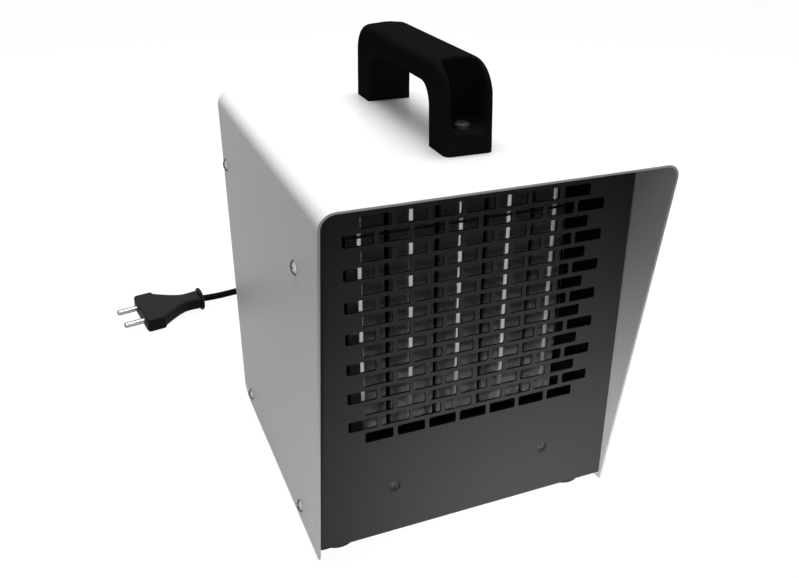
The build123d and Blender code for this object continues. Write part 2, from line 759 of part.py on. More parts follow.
def make_impeller():
    """Hub with a bevelled nose and cambered blades, turned so that its axis lies along Y."""
    half = fan_hub_length / 2
    radius = fan_hub / 2
    wheel = turned([(radius, -half), (radius, half - 5), (radius - 4, half)], 3 * fan_blades)
    blade = fan_blade()
    wheel += [Rot(0, 0, index * 360.0 / fan_blades) * blade for index in range(fan_blades)]
    wheel -= Pos(0, 0, -fan_hub_length) * shaft_bore(2 * fan_hub_length)
    return facing("-y", 0, fan_front_y + half, element_z) * wheel


# ================================================================ motor
motor_front_y = strap_y + strap_thick
stack_front_y = motor_front_y + bracket_depth
stack_rear_y = stack_front_y + stack_length
motor_end_y = stack_rear_y + bracket_depth
stack_low = element_z - stack_under_axis


def motor_screw_holes():
    radius = motor_screw / 2 + screw_clearance
    return [rod_y(radius, strap_y - 5, motor_end_y + 5, x, element_z, sides=8)
            for x in (-motor_screw_x, motor_screw_x)]


def make_motor_strap():
    """Steel strap across the back of the collar, with a leg and a foot at each end."""
    outer = fan_bore / 2 + chassis_sheet + strap_clear
    z0, z1 = element_z - strap_height / 2, element_z + strap_height / 2
    strap = block(-outer, outer, strap_y, motor_front_y, z0, z1)
    for side in (-1, 1):
        strap += block(side * outer, side * (outer - strap_thick), fan_deck_y, motor_front_y, z0, z1)
        end = side * (fan_deck_half - strap_end_gap)
        strap += block(side * outer, end, fan_deck_y, fan_deck_y + strap_thick, z0, z1)
    strap -= rod_y(boss_diameter / 2, strap_y - 1, motor_front_y + 1, 0, element_z, sides=16)
    return strap - motor_screw_holes() - [small_hole(*spot) for spot in strap_screw_spots()]


def make_stator():
    """Laminated stack with the rotor's bore above and the coil's window and leg below."""
    y0, y1 = stack_front_y, stack_rear_y
    stack = block(-stack_half_width, stack_half_width, y0, y1, stack_low, element_z + stack_over_axis)
    stack = chamfer(stack.edges().filter_by(Axis.Y), 3.0)
    stack -= rod_y(rotor_diameter / 2 + rotor_gap, y0 - 1, y1 + 1, 0, element_z, sides=32)
    window_z = stack_low + stack_leg
    stack -= block(-window_half_width, window_half_width, y0 - 1, y1 + 1, window_z, window_z + window_height)
    return stack - motor_screw_holes()


def make_motor_coil():
    """Bobbin with its winding, round the stack's lower leg."""
    y0, y1 = stack_front_y, stack_rear_y
    body = block(-coil_half_width, coil_half_width, y0 - coil_wall, y1 + coil_wall,
                 stack_low - coil_wall, stack_low + stack_leg + window_height - 1.0)
    body = chamfer(body.edges().filter_by(Axis.X), 3.0)
    return body - block(-coil_half_width - 1, coil_half_width + 1, y0 - fit_gap, y1 + fit_gap,
                        stack_low - fit_gap, stack_low + stack_leg + fit_gap)


def shaft_bore(length):
    """Bore along +Z of a piece that is fixed on the fan's shaft."""
    return extrude(RegularPolygon(shaft_diameter / 2 + running_gap, 8, major_radius=False), length)


def make_rotor():
    rotor = rod_y(rotor_diameter / 2, stack_front_y, stack_rear_y, 0, element_z, sides=24)
    return rotor - Pos(0, stack_rear_y + 1, element_z) * Rot(90, 0, 0) * shaft_bore(stack_length + 2)


def make_shaft():
    """Steel shaft from the impeller's nose through both bearings."""
    return rod_y(shaft_diameter / 2, fan_front_y + 2.0, motor_end_y + 3.0, 0, element_z)


def make_motor_bracket(outer_y, stack_y):
    """Die-cast bridge with two posts on the stack and a boss for the bearing bush."""
    outward = 1 if outer_y > stack_y else -1
    half = boss_diameter / 2 - 1.0
    bar_y = outer_y - outward * bracket_bar
    bridge = block(-stack_half_width, stack_half_width, outer_y, bar_y, element_z - half, element_z + half)
    for side in (-1, 1):
        bridge += block(side * stack_half_width, side * (motor_screw_x - 5), outer_y, stack_y,
                        element_z - half, element_z + half)
    boss_end = outer_y - outward * (bush_length + 0.5)
    bridge += rod_y(boss_diameter / 2 - 0.2, outer_y, boss_end, 0, element_z, sides=16)
    bridge -= rod_y(bush_diameter / 2 + running_gap, outer_y - 9, outer_y + 9, 0, element_z, sides=12)
    return bridge - motor_screw_holes()


def make_bushes():
    bushes = []
    for outer_y, inward in ((motor_front_y, 1), (motor_end_y, -1)):
        bush = rod_y(bush_diameter / 2, outer_y, outer_y + inward * bush_length, 0, element_z, sides=12)
        bushes.append(bush - rod_y(shaft_diameter / 2 + running_gap, outer_y - 9, outer_y + 9, 0, element_z))
    return bushes


def make_motor_screws():
    """Long screws through strap, brackets and stack, with a nut at the rear."""
    screws = []
    for x in (-motor_screw_x, motor_screw_x):
        screw = rod_y(motor_screw / 2, strap_y, motor_end_y + 4.0, x, element_z, sides=6)
        screw += rod_y(motor_screw * 0.85, strap_y - 2.2, strap_y, x, element_z, sides=12)
        nut = extrude(RegularPolygon(2.9, 6, major_radius=False), 2.6)
        screws.append(screw + facing("+y", x, motor_end_y, element_z) * nut)
    return screws


# ================================================================ controls
control_back_y = rear_panel_inner_y - fit_gap
control_front_y = control_back_y - control_depth
control_blade_y = control_front_y - 8.0
selector_blades = [(selector_x + x, control_z + z) for x in (-9, 9) for z in (-8, 8)]
thermostat_blades = [(thermostat_x + x, control_z) for x in (-10, 10)]


def make_control_body(x, width, nose, blades):
    """Switch or thermostat behind the rear panel, with a round nose up to the panel and blade terminals."""
    half = control_body / 2
    body = block(x - width / 2, x + width / 2, control_front_y, control_back_y - nose,
                 control_z - half, control_z + half)
    body = chamfer(body.edges().filter_by(Axis.Y), 3.0)
    body += rod_y(control_nose / 2, control_back_y - nose, control_back_y, x, control_z, sides=16)
    for blade_x, z in blades:
        body += block(blade_x - 0.4, blade_x + 0.4, control_blade_y, control_front_y,
                      z - terminal_blade / 2, z + terminal_blade / 2)
    bore = spindle_diameter / 2 + spindle_clearance
    return body - rod_y(bore, control_back_y - spindle_depth - 0.5, control_back_y + 1, x, control_z)


def make_spindle(x):
    """Spindle with a flat, from inside the control body to inside the knob."""
    end = rear_panel_y + knob_gap + knob_height - 4.2
    spindle = rod_y(spindle_diameter / 2, control_back_y - spindle_depth, end, x, control_z)
    flat = control_z + spindle_diameter / 2 - spindle_flat
    return spindle - block(x - 5, x + 5, rear_panel_y + knob_gap, end + 1, flat, control_z + 5)


def make_knob(x):
    """Rotary knob: a skirt, a tapered cap cut to a pointer bar for the fingers, and a D-shaped blind bore."""
    skirt, cap = knob_diameter / 2, knob_cap / 2
    shoulder = knob_skirt + 1.2
    knob = turned([(skirt, 0), (skirt, knob_skirt - 0.8), (skirt - 0.8, knob_skirt)], 20)
    knob += turned([(cap, knob_skirt), (cap - 1.2, knob_height - 1.0), (cap - 2.2, knob_height)], 20)
    reach = knob_diameter
    for side in (-1, 1):
        knob -= block(side * knob_grip / 2, side * reach, -reach, reach, shoulder, knob_height + 1)
    depth = knob_height - 4.0
    bore = extrude(RegularPolygon(spindle_diameter / 2 + running_gap, 12, major_radius=False), depth)
    flat = spindle_diameter / 2 - spindle_flat + running_gap
    bore -= block(-reach, reach, flat, reach, -1, depth + 1)
    return facing("+y", x, rear_panel_y + knob_gap, control_z) * Rot(0, 0, 180) * (knob - bore)


# ================================================================ wiring inside
def round_route(points):
    """Straight runs joined by tangent arcs, each as large as its two runs allow, and the arcs' radii."""
    radii = []
    for before, here, after in zip(points, points[1:], points[2:]):
        run_in = Vector(*here) - Vector(*before)
        run_out = Vector(*after) - Vector(*here)
        turn = radians(run_in.get_angle(run_out))
        radii.append(0.45 * min(run_in.length, run_out.length) / tan(turn / 2))
    return FilletPolyline(*points, radius=radii), radii


def tube(points, diameter, sides):
    path, radii = round_route(points)
    start = Plane(origin=path @ 0, z_dir=path % 0)
    return sweep(start * RegularPolygon(diameter / 2, sides), path=path), path, radii


def bent_wire(points, diameter, sides):
    """A hidden wire: straight runs whose corners are each cut by one chord."""
    line = [Vector(*points[0])]
    for before, here, after in zip(points, points[1:], points[2:]):
        corner = Vector(*here)
        run_in, run_out = corner - Vector(*before), Vector(*after) - corner
        cut = 0.4 * min(run_in.length, run_out.length)
        line += [corner - run_in.normalized() * cut, corner + run_out.normalized() * cut]
    path = Polyline(*line, Vector(*points[-1]))
    start = Plane(origin=path @ 0, z_dir=path % 0)
    return sweep(start * RegularPolygon(diameter / 2, sides), path=path, transition=Transition.RIGHT)


def pole_places():
    return [block_x + (index - (block_poles - 1) / 2) * block_pitch for index in range(block_poles)]


wire_height = base_top + block_size[2] / 2


def make_terminal_block():
    """Three-pole block on the base, beside the lead's entry, with wire tunnels and screw wells."""
    wide, deep, high = (size / 2 for size in block_size)
    x0, x1, y0, y1 = block_x - wide, block_x + wide, block_y - deep, block_y + deep
    body = block(x0, x1, y0, y1, base_top, base_top + 2 * high)
    body += block(x0, x1, y0 + 4, y1 - 4, base_top, base_top + 17)
    for x in pole_places():
        body -= rod_y(1.9, block_y - deep - 1, block_y + deep + 1, x, wire_height, sides=6)
        body -= rod_z(2.2, base_top + 12, base_top + 18, x, block_y, sides=8)
    return body


def make_inner_lead():
    """The lead's last stretch inside, from the gland down to the terminal block."""
    end = block_y + block_size[1] / 2 + wire_gap
    start = rear_panel_inner_y - 8.0
    x = pole_places()[1]
    points = [(gland_x, start, gland_z), (gland_x, start - 9, gland_z), (x, end + 8, wire_height + 0.5),
              (x, end, wire_height)]
    return bent_wire(points, lead_diameter - 1.2, 6)


def make_wires():
    """Single leads between thermostat, selector, motor, element and terminal block."""
    blade = control_blade_y - wire_gap
    pole_y = block_y - block_size[1] / 2 - wire_gap
    left, _, right = terminal_places()
    foot = element_low - end_frame_height - terminal_length - wire_gap
    behind, before = fan_deck_y + 6.0, fan_deck_y - 8.0
    coil_front = stack_front_y - coil_wall / 2
    routes = [
        # thermostat to selector
        [(thermostat_x - 10, blade, control_z), (thermostat_x - 10, blade - 15, control_z),
         (selector_x + 9, blade - 15, control_z + 8), (selector_x + 9, blade, control_z + 8)],
        # selector to motor
        [(selector_x - 9, blade, control_z + 8), (selector_x - 9, blade - 20, control_z + 9),
         (selector_x + 2, coil_front, stack_low - 3), (-coil_half_width - wire_gap, coil_front, stack_low - 3)],
        # selector to the left element terminal
        [(selector_x - 9, blade, control_z - 8), (selector_x - 9, blade - 24, control_z - 9),
         (wire_holes[0], behind, wire_hole_z), (wire_holes[0], before, wire_hole_z),
         (left, element_middle_y, 38), (left, element_middle_y, foot)],
        # block to the right element terminal
        [(pole_places()[0], pole_y, wire_height), (pole_places()[0], pole_y - 16, wire_height),
         (wire_holes[1], behind, wire_hole_z), (wire_holes[1], before, wire_hole_z),
         (right, element_middle_y, 40), (right, element_middle_y, foot)],
    ]
    return [bent_wire(points, wire_diameter, 4) for points in routes]


# ================================================================ mains lead outside
def make_gland():
    """Strain relief: a snap-in neck in the panel, a collar and a ribbed tapering boot."""
    inside = -chassis_sheet - 8.0
    neck, collar = gland_neck / 2, gland_collar / 2
    boot_from = 4.0
    rib_pitch = (gland_length - boot_from - 3.0) / boot_ribs
    relief = turned([(neck, inside), (neck, running_gap)], 10)
    relief += turned([(collar - 1.4, inside + 2), (collar, -chassis_sheet - fit_gap)], 10)
    relief += turned([(collar, running_gap), (collar, boot_from - 1), (collar - 1, boot_from)], 10)
    slope = (boot_start - boot_end) / 2 / (gland_length - boot_from)
    for index in range(boot_ribs):
        low = boot_from + index * rib_pitch
        radius = boot_start / 2 - slope * index * rib_pitch
        relief += turned([(radius, low), (radius - slope * rib_pitch, low + rib_pitch - 2.2)], 10)
        relief += turned([(boot_end / 2, low + rib_pitch - 2.2), (boot_end / 2, low + rib_pitch)], 10)
    relief += turned([(boot_end / 2, gland_length - 3.0), (boot_end / 2 - 0.3, gland_length)], 10)
    bore = (inside + gland_length) / 2
    relief -= Pos(0, 0, bore) * bar(lead_diameter / 2 + running_gap, gland_length - inside + 2, 10)
    return facing("+y", gland_x, rear_panel_y, gland_z) * relief


coil_turns_per_layer = coil_turns / coil_layers
coil_step = (coil_outer - coil_inner) / coil_turns_per_layer      # radial step of the spiral per turn
coil_top_z = lead_floor_z + (coil_layers - 1) * coil_layer_pitch


def coil_point(turn):
    """Middle of the lead in the put-away coil after so many turns from the gland's end, and its direction.
    The spiral goes steadily in and out again, and climbs down a layer in the half turn where it reverses."""
    layer = min(int(turn / coil_turns_per_layer), coil_layers - 1)
    inwards = layer % 2 == 0
    along = turn - layer * coil_turns_per_layer
    radius = coil_outer - coil_step * along if inwards else coil_inner + coil_step * along
    radius_rate = -coil_step if inwards else coil_step
    z = coil_top_z - layer * coil_layer_pitch
    z_rate = 0.0
    for change in range(1, coil_layers):
        share = (turn - change * coil_turns_per_layer) / 0.5 + 0.5      # 0 to 1 through the half turn
        if 0 < share < 1:
            z = coil_top_z - (change - 1) * coil_layer_pitch - coil_layer_pitch * (1 - cos(pi * share)) / 2
            z_rate = -coil_layer_pitch * pi * sin(pi * share)
            outwards = 1 if change % 2 else -1
            edge = coil_inner if change % 2 else coil_outer
            radius_rate = outwards * coil_step * (2 * share - 1)
            radius = edge + outwards * coil_step * 0.25 * ((2 * share - 1) ** 2 + 1) / 2
    turned_by = 2 * pi * turn
    out = Vector(cos(turned_by), sin(turned_by), 0)
    round_it = Vector(-sin(turned_by), cos(turned_by), 0)
    point = Vector(*coil_centre, z) + out * radius
    heading = out * radius_rate + round_it * (2 * pi * radius) + Vector(0, 0, z_rate)
    return point, heading.normalized()


def biarc(p0, t0, p1, t1):
    """Two tangent arcs from p0 in direction t0 to p1 in direction t1."""
    chord = p1 - p0
    lean = chord.dot(t0 + t1)
    spread = 2 * (1 - t0.dot(t1))
    reach = (-lean + (lean ** 2 + spread * chord.dot(chord)) ** 0.5) / spread
    middle = (p0 + p1 + (t0 - t1) * reach) * 0.5
    first = Edge.make_tangent_arc(p0, t0, middle)
    return [first, Edge.make_tangent_arc(middle, first % 1, p1)]


def make_coil():
    """The put-away turns, on biarcs of about half a turn, with a short straight stretch at each end."""
    steps = ceil(coil_turns * coil_biarcs)
    marks = [coil_point(coil_turns * step / steps) for step in range(steps + 1)]
    edges = [Edge.make_line(coil_entry, marks[0][0])]
    for (p0, t0), (p1, t1) in zip(marks, marks[1:]):
        edges += biarc(p0, t0, p1, t1)
    edges.append(Edge.make_line(marks[-1][0], coil_exit))
    path = Wire(edges)
    start = Plane(origin=path @ 0, z_dir=path % 0)
    return sweep(start * RegularPolygon(lead_diameter / 2, lead_sides), path=path), path


coil_start, coil_start_way = coil_point(0)
coil_end, coil_end_way = coil_point(coil_turns)
coil_entry = coil_start - coil_start_way * lead_diameter
coil_exit = coil_end + coil_end_way * lead_diameter

plug_place = Pos(*plug_face) * Rot(0, 0, plug_heading) * Rot(plug_roll, 0, 0)
plug_reach = plug_length + plug_flange_thick
plug_entry = (plug_place * Pos(plug_reach, 0, 0)).position
plug_way = (plug_entry - Vector(*plug_face)).normalized()


def make_plug_body():
    """Flat two-pin plug: a wide head that narrows in a hollow curve to a neck, and a thin round flange."""
    wide, neck = plug_width / 2, plug_neck / 2
    taper, drop = plug_length - plug_head, wide - neck
    half = [
        (0, wide - 1.8), (plug_head * 0.2, wide), (plug_head, wide), (plug_head + taper * 0.2, neck + drop * 0.64),
        (plug_head + taper * 0.42, neck + drop * 0.26), (plug_head + taper * 0.66, neck), (plug_length, neck)]
    outline = Polyline(*half, *[(x, -y) for x, y in reversed(half)], close=True)
    body = extrude(make_face(outline), plug_thick / 2, both=True)
    rim = body.faces().sort_by(Axis.Z)
    body = chamfer((rim[0].edges() + rim[-1].edges()), plug_edge)
    body += facing("+x", plug_length, 0, 0) * bar_from(plug_flange / 2, plug_flange_thick, 16)
    body -= rod_x(lead_diameter / 2 + running_gap, plug_reach - 8, plug_reach + 1, 0, 0, sides=12)
    for y in (-pin_spacing / 2, pin_spacing / 2):
        body -= rod_x(pin_root / 2 + running_gap, -1, pin_seat + running_gap, y, 0, sides=8)
    return plug_place * body


def make_plug_pins():
    """Two round pins, each with a thinner root seated in the plug's head."""
    pin = rod_x(pin_diameter / 2, -pin_length, 0, 0, 0) + rod_x(pin_root / 2, 0, pin_seat, 0, 0, sides=8)
    return [plug_place * Pos(0, y, 0) * pin for y in (-pin_spacing / 2, pin_spacing / 2)]


gland_exit = Vector(gland_x, rear_panel_y + gland_length, gland_z)
lead_from_gland = [
    gland_exit, (gland_x, 148.5, gland_z), (62.3, 168.0, 28.6), coil_entry - coil_start_way * 13.5, coil_entry]
lead_to_plug = [
    coil_exit, coil_exit + coil_end_way * 20.0, (5.0, 275.5, lead_floor_z), (-27.0, 292.5, lead_floor_z),
    (-62.0, 297.5, lead_floor_z + 0.3), plug_entry + plug_way * 14.0 + Vector(0, 0, -2.0), plug_entry]


# ================================================================ build
parts["cover"] = make_cover()
parts["base_tray"] = make_base()
parts["front_panel"] = make_front_panel()
parts["rear_panel"] = make_rear_panel()
parts["side_screws"] = group(make_side_screws())
parts["front_panel_screws"] = group(make_screws(small_screw(), front_screw_spots()))
parts["rear_panel_screws"] = group(make_screws(small_screw(), rear_screw_spots()))
parts["chassis_screws"] = group(make_screws(
    hex_screw(), duct_flange_spots() + element_screw_spots() + deck_foot_spots() + strap_screw_spots()))
parts["handle"] = make_handle()
parts["handle_screws"] = group(make_handle_screws())
parts["handle_nuts"] = group(make_handle_nuts())
for name, spot in zip(("front_left", "front_right", "rear_left", "rear_right"), foot_spots()):
    parts[f"foot_{name}"] = make_foot(*spot)
parts["foot_screws"] = group(make_foot_screws())
parts["foot_nuts"] = group(make_foot_nuts())

parts["heating_tubes"] = group(make_tubes())
parts["heating_fins"] = group(make_fins())
parts["element_lower_frame"] = make_end_frame(element_low, -1)
parts["element_upper_frame"] = make_end_frame(element_high, 1)
parts["element_springs"] = group(make_side_springs())
parts["element_terminals"] = group(make_terminals())
parts["overheat_cutout"] = make_cutout()
parts["overheat_capillary"] = make_capillary()
parts["air_duct"] = make_duct()

parts["fan_deck"] = make_fan_deck()
parts["impeller"] = make_impeller()
parts["motor_shaft"] = make_shaft()
parts["motor_rotor"] = make_rotor()
parts["motor_strap"] = make_motor_strap()
parts["motor_stator"] = make_stator()
parts["motor_coil"] = make_motor_coil()
parts["motor_front_bracket"] = make_motor_bracket(motor_front_y, stack_front_y)
parts["motor_rear_bracket"] = make_motor_bracket(motor_end_y, stack_rear_y)
parts["motor_bushes"] = group(make_bushes())
parts["motor_screws"] = group(make_motor_screws())

parts["selector_switch"] = make_control_body(selector_x, control_body, 6.0, selector_blades)
parts["selector_spindle"] = make_spindle(selector_x)
parts["selector_knob"] = make_knob(selector_x)
parts["thermostat_body"] = make_control_body(thermostat_x, control_body + 4, 9.0, thermostat_blades)
parts["thermostat_spindle"] = make_spindle(thermostat_x)
parts["thermostat_knob"] = make_knob(thermostat_x)
parts["terminal_block"] = make_terminal_block()
parts["lead_inside"] = make_inner_lead()
parts["wiring"] = group(make_wires())

parts["cord_gland"] = make_gland()
gland_run, gland_path, gland_radii = tube(lead_from_gland, lead_diameter, lead_sides)
plug_run, plug_path, plug_radii = tube(lead_to_plug, lead_diameter, lead_sides)
coil, coil_path = make_coil()
parts["mains_lead_gland_run"] = gland_run
parts["mains_lead_coil"] = coil
parts["mains_lead_plug_run"] = plug_run
parts["plug_body"] = make_plug_body()
parts["plug_pins"] = group(make_plug_pins())


def least_coil_gap():
    """Smallest distance between turns of the coil, less the lead's own thickness."""
    per_turn = 60
    count = round(per_turn * coil_turns)
    points = [coil_point(coil_turns * step / count)[0] for step in range(count + 1)]
    near = per_turn * 2 // 3    # points closer along the lead than this belong to the same turn
    least = min((points[a] - points[b]).length for a in range(count + 1) for b in range(a + near, count + 1))
    return least - lead_diameter


if __name__ == "__main__":
    section = RegularPolygon(lead_diameter / 2, lead_sides).area
    total = 0
    for label, solid, path in (("gland run", gland_run, gland_path), ("coil", coil, coil_path),
                               ("plug run", plug_run, plug_path)):
        total += path.length
        print(label, "length", round(path.length, 1), "volume over section times length",
              round(solid.volume / (section * path.length), 4))
    print("lead", round(total, 1), "coil gap", round(least_coil_gap(), 2))
    print("radii", [round(r, 1) for r in gland_radii], [round(r, 1) for r in plug_radii])
    os.makedirs("parts", exist_ok=True)
    for name, solid in parts.items():
        solid.label = name
        export_step(solid, f"parts/{name}.step")
    print(len(parts), "nodes")
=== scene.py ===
"""Looks for the portable forced air heater: a white folded steel cover over a charcoal outlet panel,
with the finned element behind its slots, a black bridge handle, rear dials and a mains lead.

Pieces are modelled in millimetres in the model's own frame (X across the front, -Y the front, +Z up)
and brought to metres as they become objects.
"""
from math import atan2, cos, pi, radians, sin

import bmesh
import bpy
from mathutils import Matrix, Vector


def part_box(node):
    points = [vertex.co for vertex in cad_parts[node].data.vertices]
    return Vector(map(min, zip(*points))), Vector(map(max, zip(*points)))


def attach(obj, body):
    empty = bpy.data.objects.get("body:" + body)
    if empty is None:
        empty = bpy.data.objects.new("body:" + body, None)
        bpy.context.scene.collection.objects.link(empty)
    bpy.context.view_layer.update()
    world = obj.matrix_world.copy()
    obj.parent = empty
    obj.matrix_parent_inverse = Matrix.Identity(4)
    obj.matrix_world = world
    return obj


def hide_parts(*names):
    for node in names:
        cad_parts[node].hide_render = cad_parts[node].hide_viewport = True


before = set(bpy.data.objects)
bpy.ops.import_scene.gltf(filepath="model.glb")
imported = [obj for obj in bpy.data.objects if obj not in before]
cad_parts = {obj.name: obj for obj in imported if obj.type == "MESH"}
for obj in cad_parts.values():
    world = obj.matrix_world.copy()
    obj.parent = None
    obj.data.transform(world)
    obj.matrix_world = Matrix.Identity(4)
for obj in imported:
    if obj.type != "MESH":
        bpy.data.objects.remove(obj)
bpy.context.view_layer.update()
MM = 0.001


def linked(name, data):
    """A new object in the scene, at the origin."""
    item = bpy.data.objects.new(name, data)
    bpy.context.scene.collection.objects.link(item)
    return item


# ================================================================ camera
IMAGE = (799, 578)
CAMERA_PLACE = Vector((-0.19766, -0.47053, 0.39107))
CAMERA_YAW = radians(24.083)       # of the view's direction, from +Y towards +X
CAMERA_PITCH = radians(26.898)     # downwards
CAMERA_ROLL = radians(1.099)
FOCAL_PIXELS = 875.37
MIDDLE_PIXEL = (439.5, 289.0)      # where the view's axis meets the picture
SENSOR = 36.0
NEAR_CLIP = 0.02


def make_camera():
    forward = Vector((sin(CAMERA_YAW) * cos(CAMERA_PITCH), cos(CAMERA_YAW) * cos(CAMERA_PITCH), -sin(CAMERA_PITCH)))
    level = Vector((cos(CAMERA_YAW), -sin(CAMERA_YAW), 0))
    upright = level.cross(forward)
    right = level * cos(CAMERA_ROLL) + upright * sin(CAMERA_ROLL)
    up = upright * cos(CAMERA_ROLL) - level * sin(CAMERA_ROLL)
    aim = Matrix((right, up, -forward)).transposed().to_4x4()
    data = bpy.data.cameras.new("camera")
    data.sensor_width = SENSOR
    data.lens = FOCAL_PIXELS / IMAGE[0] * SENSOR
    data.shift_x = (IMAGE[0] / 2 - MIDDLE_PIXEL[0]) / IMAGE[0]
    data.shift_y = (MIDDLE_PIXEL[1] - IMAGE[1] / 2) / IMAGE[0]
    data.clip_start = NEAR_CLIP
    camera = linked("camera", data)
    camera.matrix_world = Matrix.Translation(CAMERA_PLACE) @ aim
    bpy.context.scene.camera = camera


make_camera()


# ================================================================ modelling helpers
FACING = {"+x": Matrix.Rotation(pi / 2, 3, "Y"), "-x": Matrix.Rotation(-pi / 2, 3, "Y"),     # from +Z
          "+y": Matrix.Rotation(-pi / 2, 3, "X"), "-y": Matrix.Rotation(pi / 2, 3, "X")}


def span(node):
    """Lowest and highest corner of a CAD node, in millimetres."""
    low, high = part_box(node)
    return Vector(low) / MM, Vector(high) / MM


def middle_of(node):
    low, high = span(node)
    return (low + high) / 2


def move(bm, way, verts=None):
    """Corners of a form moved, or all of them."""
    bmesh.ops.translate(bm, vec=Vector(way), verts=bm.verts if verts is None else verts)


def turn(bm, matrix, verts):
    bmesh.ops.rotate(bm, cent=(0, 0, 0), matrix=matrix, verts=verts)


def put(bm, verts, direction, place):
    """Corners of a form made along +Z turned to face along an axis, and moved to their place."""
    turn(bm, FACING[direction], verts)
    move(bm, place, verts)


def add_block(bm, low, high):
    """A box between two corners; its new corners are returned."""
    verts = bmesh.ops.create_cube(bm, size=1.0)["verts"]
    low, high = Vector(low), Vector(high)
    bmesh.ops.scale(bm, vec=high - low, verts=verts)
    move(bm, (low + high) / 2, verts)
    return verts


def round_edges(bm, geom, radius, segments, affect="EDGES"):
    bmesh.ops.bevel(bm, geom=geom, offset=radius, offset_type="OFFSET", segments=segments, profile=0.5,
                    affect=affect, material=-1, clamp_overlap=True)


def round_corners(bm, verts, radius, segments):
    round_edges(bm, verts, radius, segments, "VERTICES")


def sliced(bm, place, way, clear):
    """Cuts a form along a plane and, if asked, clears what lies past it."""
    bmesh.ops.bisect_plane(bm, geom=bm.verts[:] + bm.edges[:] + bm.faces[:], dist=1e-4, plane_co=place, plane_no=way,
                           clear_outer=clear)


def grown(bm, faces, way):
    """Faces drawn out into a closed form."""
    made = bmesh.ops.extrude_face_region(bm, geom=faces)
    move(bm, way, [item for item in made["geom"] if isinstance(item, bmesh.types.BMVert)])


def mesh_of(bm, name):
    """A form's mesh; the form itself is freed."""
    mesh = bpy.data.meshes.new(name)
    bm.to_mesh(mesh)
    bm.free()
    return mesh


def add_form(bm, form):
    """Another form's copy in this one; its new corners are returned."""
    mesh = mesh_of(form, "form")
    before = set(bm.verts)
    bm.from_mesh(mesh)
    bpy.data.meshes.remove(mesh)
    return [vert for vert in bm.verts if vert not in before]


def turned(bm, profile, segments):
    """A turned form round the Z axis from (radius, height) points; returns its corners."""
    form = bmesh.new()
    verts = [form.verts.new((radius, 0, height)) for radius, height in profile]
    edges = [form.edges.new(pair) for pair in zip(verts, verts[1:])]
    bmesh.ops.spin(form, geom=verts + edges, cent=(0, 0, 0), axis=(0, 0, 1), dvec=(0, 0, 0), angle=2 * pi,
                   steps=segments, use_merge=True, use_duplicate=False)
    bmesh.ops.remove_doubles(form, verts=form.verts, dist=1e-4)
    bmesh.ops.recalc_face_normals(form, faces=form.faces)
    return add_form(bm, form)


def face_outwards(bm):
    """Normals made to agree, and turned round where they point at the form's own middle."""
    bmesh.ops.recalc_face_normals(bm, faces=bm.faces)
    bm.normal_update()
    total = sum(face.calc_area() for face in bm.faces)
    middle = sum((face.calc_center_median() * face.calc_area() for face in bm.faces), Vector()) / total
    if sum((face.calc_center_median() - middle).dot(face.normal) * face.calc_area() for face in bm.faces) < 0:
        bmesh.ops.reverse_faces(bm, faces=bm.faces)


def with_modifiers(item, spare=()):
    """The form that an object's modifiers give it; the object and its helpers are removed."""
    result = bmesh.new()
    result.from_object(item, bpy.context.evaluated_depsgraph_get())
    for held in (item, *spare):
        bpy.data.meshes.remove(held.data)
    return result


def cut(bm, cutter):
    """The form with another closed form taken out of it."""
    for form in (bm, cutter):
        bmesh.ops.recalc_face_normals(form, faces=form.faces)
    kept, taken = linked("kept", mesh_of(bm, "kept")), linked("taken", mesh_of(cutter, "taken"))
    modifier = kept.modifiers.new("cut", "BOOLEAN")
    modifier.operation = "DIFFERENCE"
    modifier.solver = "EXACT"
    modifier.object = taken
    return with_modifiers(kept, (taken,))


def moulded(bm, grain, passes, above):
    """One even skin over a form, its edges flowing into each other above a height."""
    item = linked("moulded", mesh_of(bm, "moulded"))
    modifier = item.modifiers.new("skin", "REMESH")
    modifier.mode = "VOXEL"
    modifier.voxel_size = grain
    skin = with_modifiers(item)
    free = [vert for vert in skin.verts if vert.co.z > above]
    for _ in range(passes):
        bmesh.ops.smooth_vert(skin, verts=free, factor=0.5, use_axis_x=True, use_axis_y=True, use_axis_z=True)
    return skin


def piece(name, bm, body, material, replaces=(), smooth=35.0, soften=0.0, segments=2, wall=0.0, rim=None):
    """Makes an object of a form in millimetres: its wall, its softened edges, its finish and what it rides on.

    Edges sharper than "smooth" degrees stay sharp. With a rim finish, the wall's cut edges have that.
    """
    bmesh.ops.remove_doubles(bm, verts=bm.verts, dist=1e-5)
    face_outwards(bm)
    bmesh.ops.scale(bm, vec=(MM,) * 3, verts=bm.verts)
    mesh = mesh_of(bm, name)
    for polygon in mesh.polygons:
        polygon.use_smooth = True
    mesh.set_sharp_from_angle(angle=radians(smooth))
    item = linked(name, mesh)
    if wall:
        shell = item.modifiers.new("wall", "SOLIDIFY")
        shell.thickness = wall * MM
        shell.offset = -1.0
        shell.use_even_offset = True
        shell.material_offset_rim = 1 if rim else 0
    if soften:
        edge = item.modifiers.new("soft edges", "BEVEL")
        edge.width = soften * MM
        edge.segments = segments
        edge.limit_method = "ANGLE"
        edge.angle_limit = radians(smooth)
        edge.harden_normals = True
    for used in (material, rim) if rim else (material,):
        mesh.materials.append(used)
    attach(item, body)
    if replaces:
        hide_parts(*replaces)


def cad_form(node, flat=False):
    """A copy of a CAD node's form in millimetres; if flat, its flat faces are made whole."""
    bm = bmesh.new()
    bm.from_mesh(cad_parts[node].data)
    bmesh.ops.remove_doubles(bm, verts=bm.verts, dist=2e-6)
    if flat:
        bmesh.ops.dissolve_limit(bm, angle_limit=radians(0.5), verts=bm.verts, edges=bm.edges)
    bmesh.ops.scale(bm, vec=(1 / MM,) * 3, verts=bm.verts)
    return bm


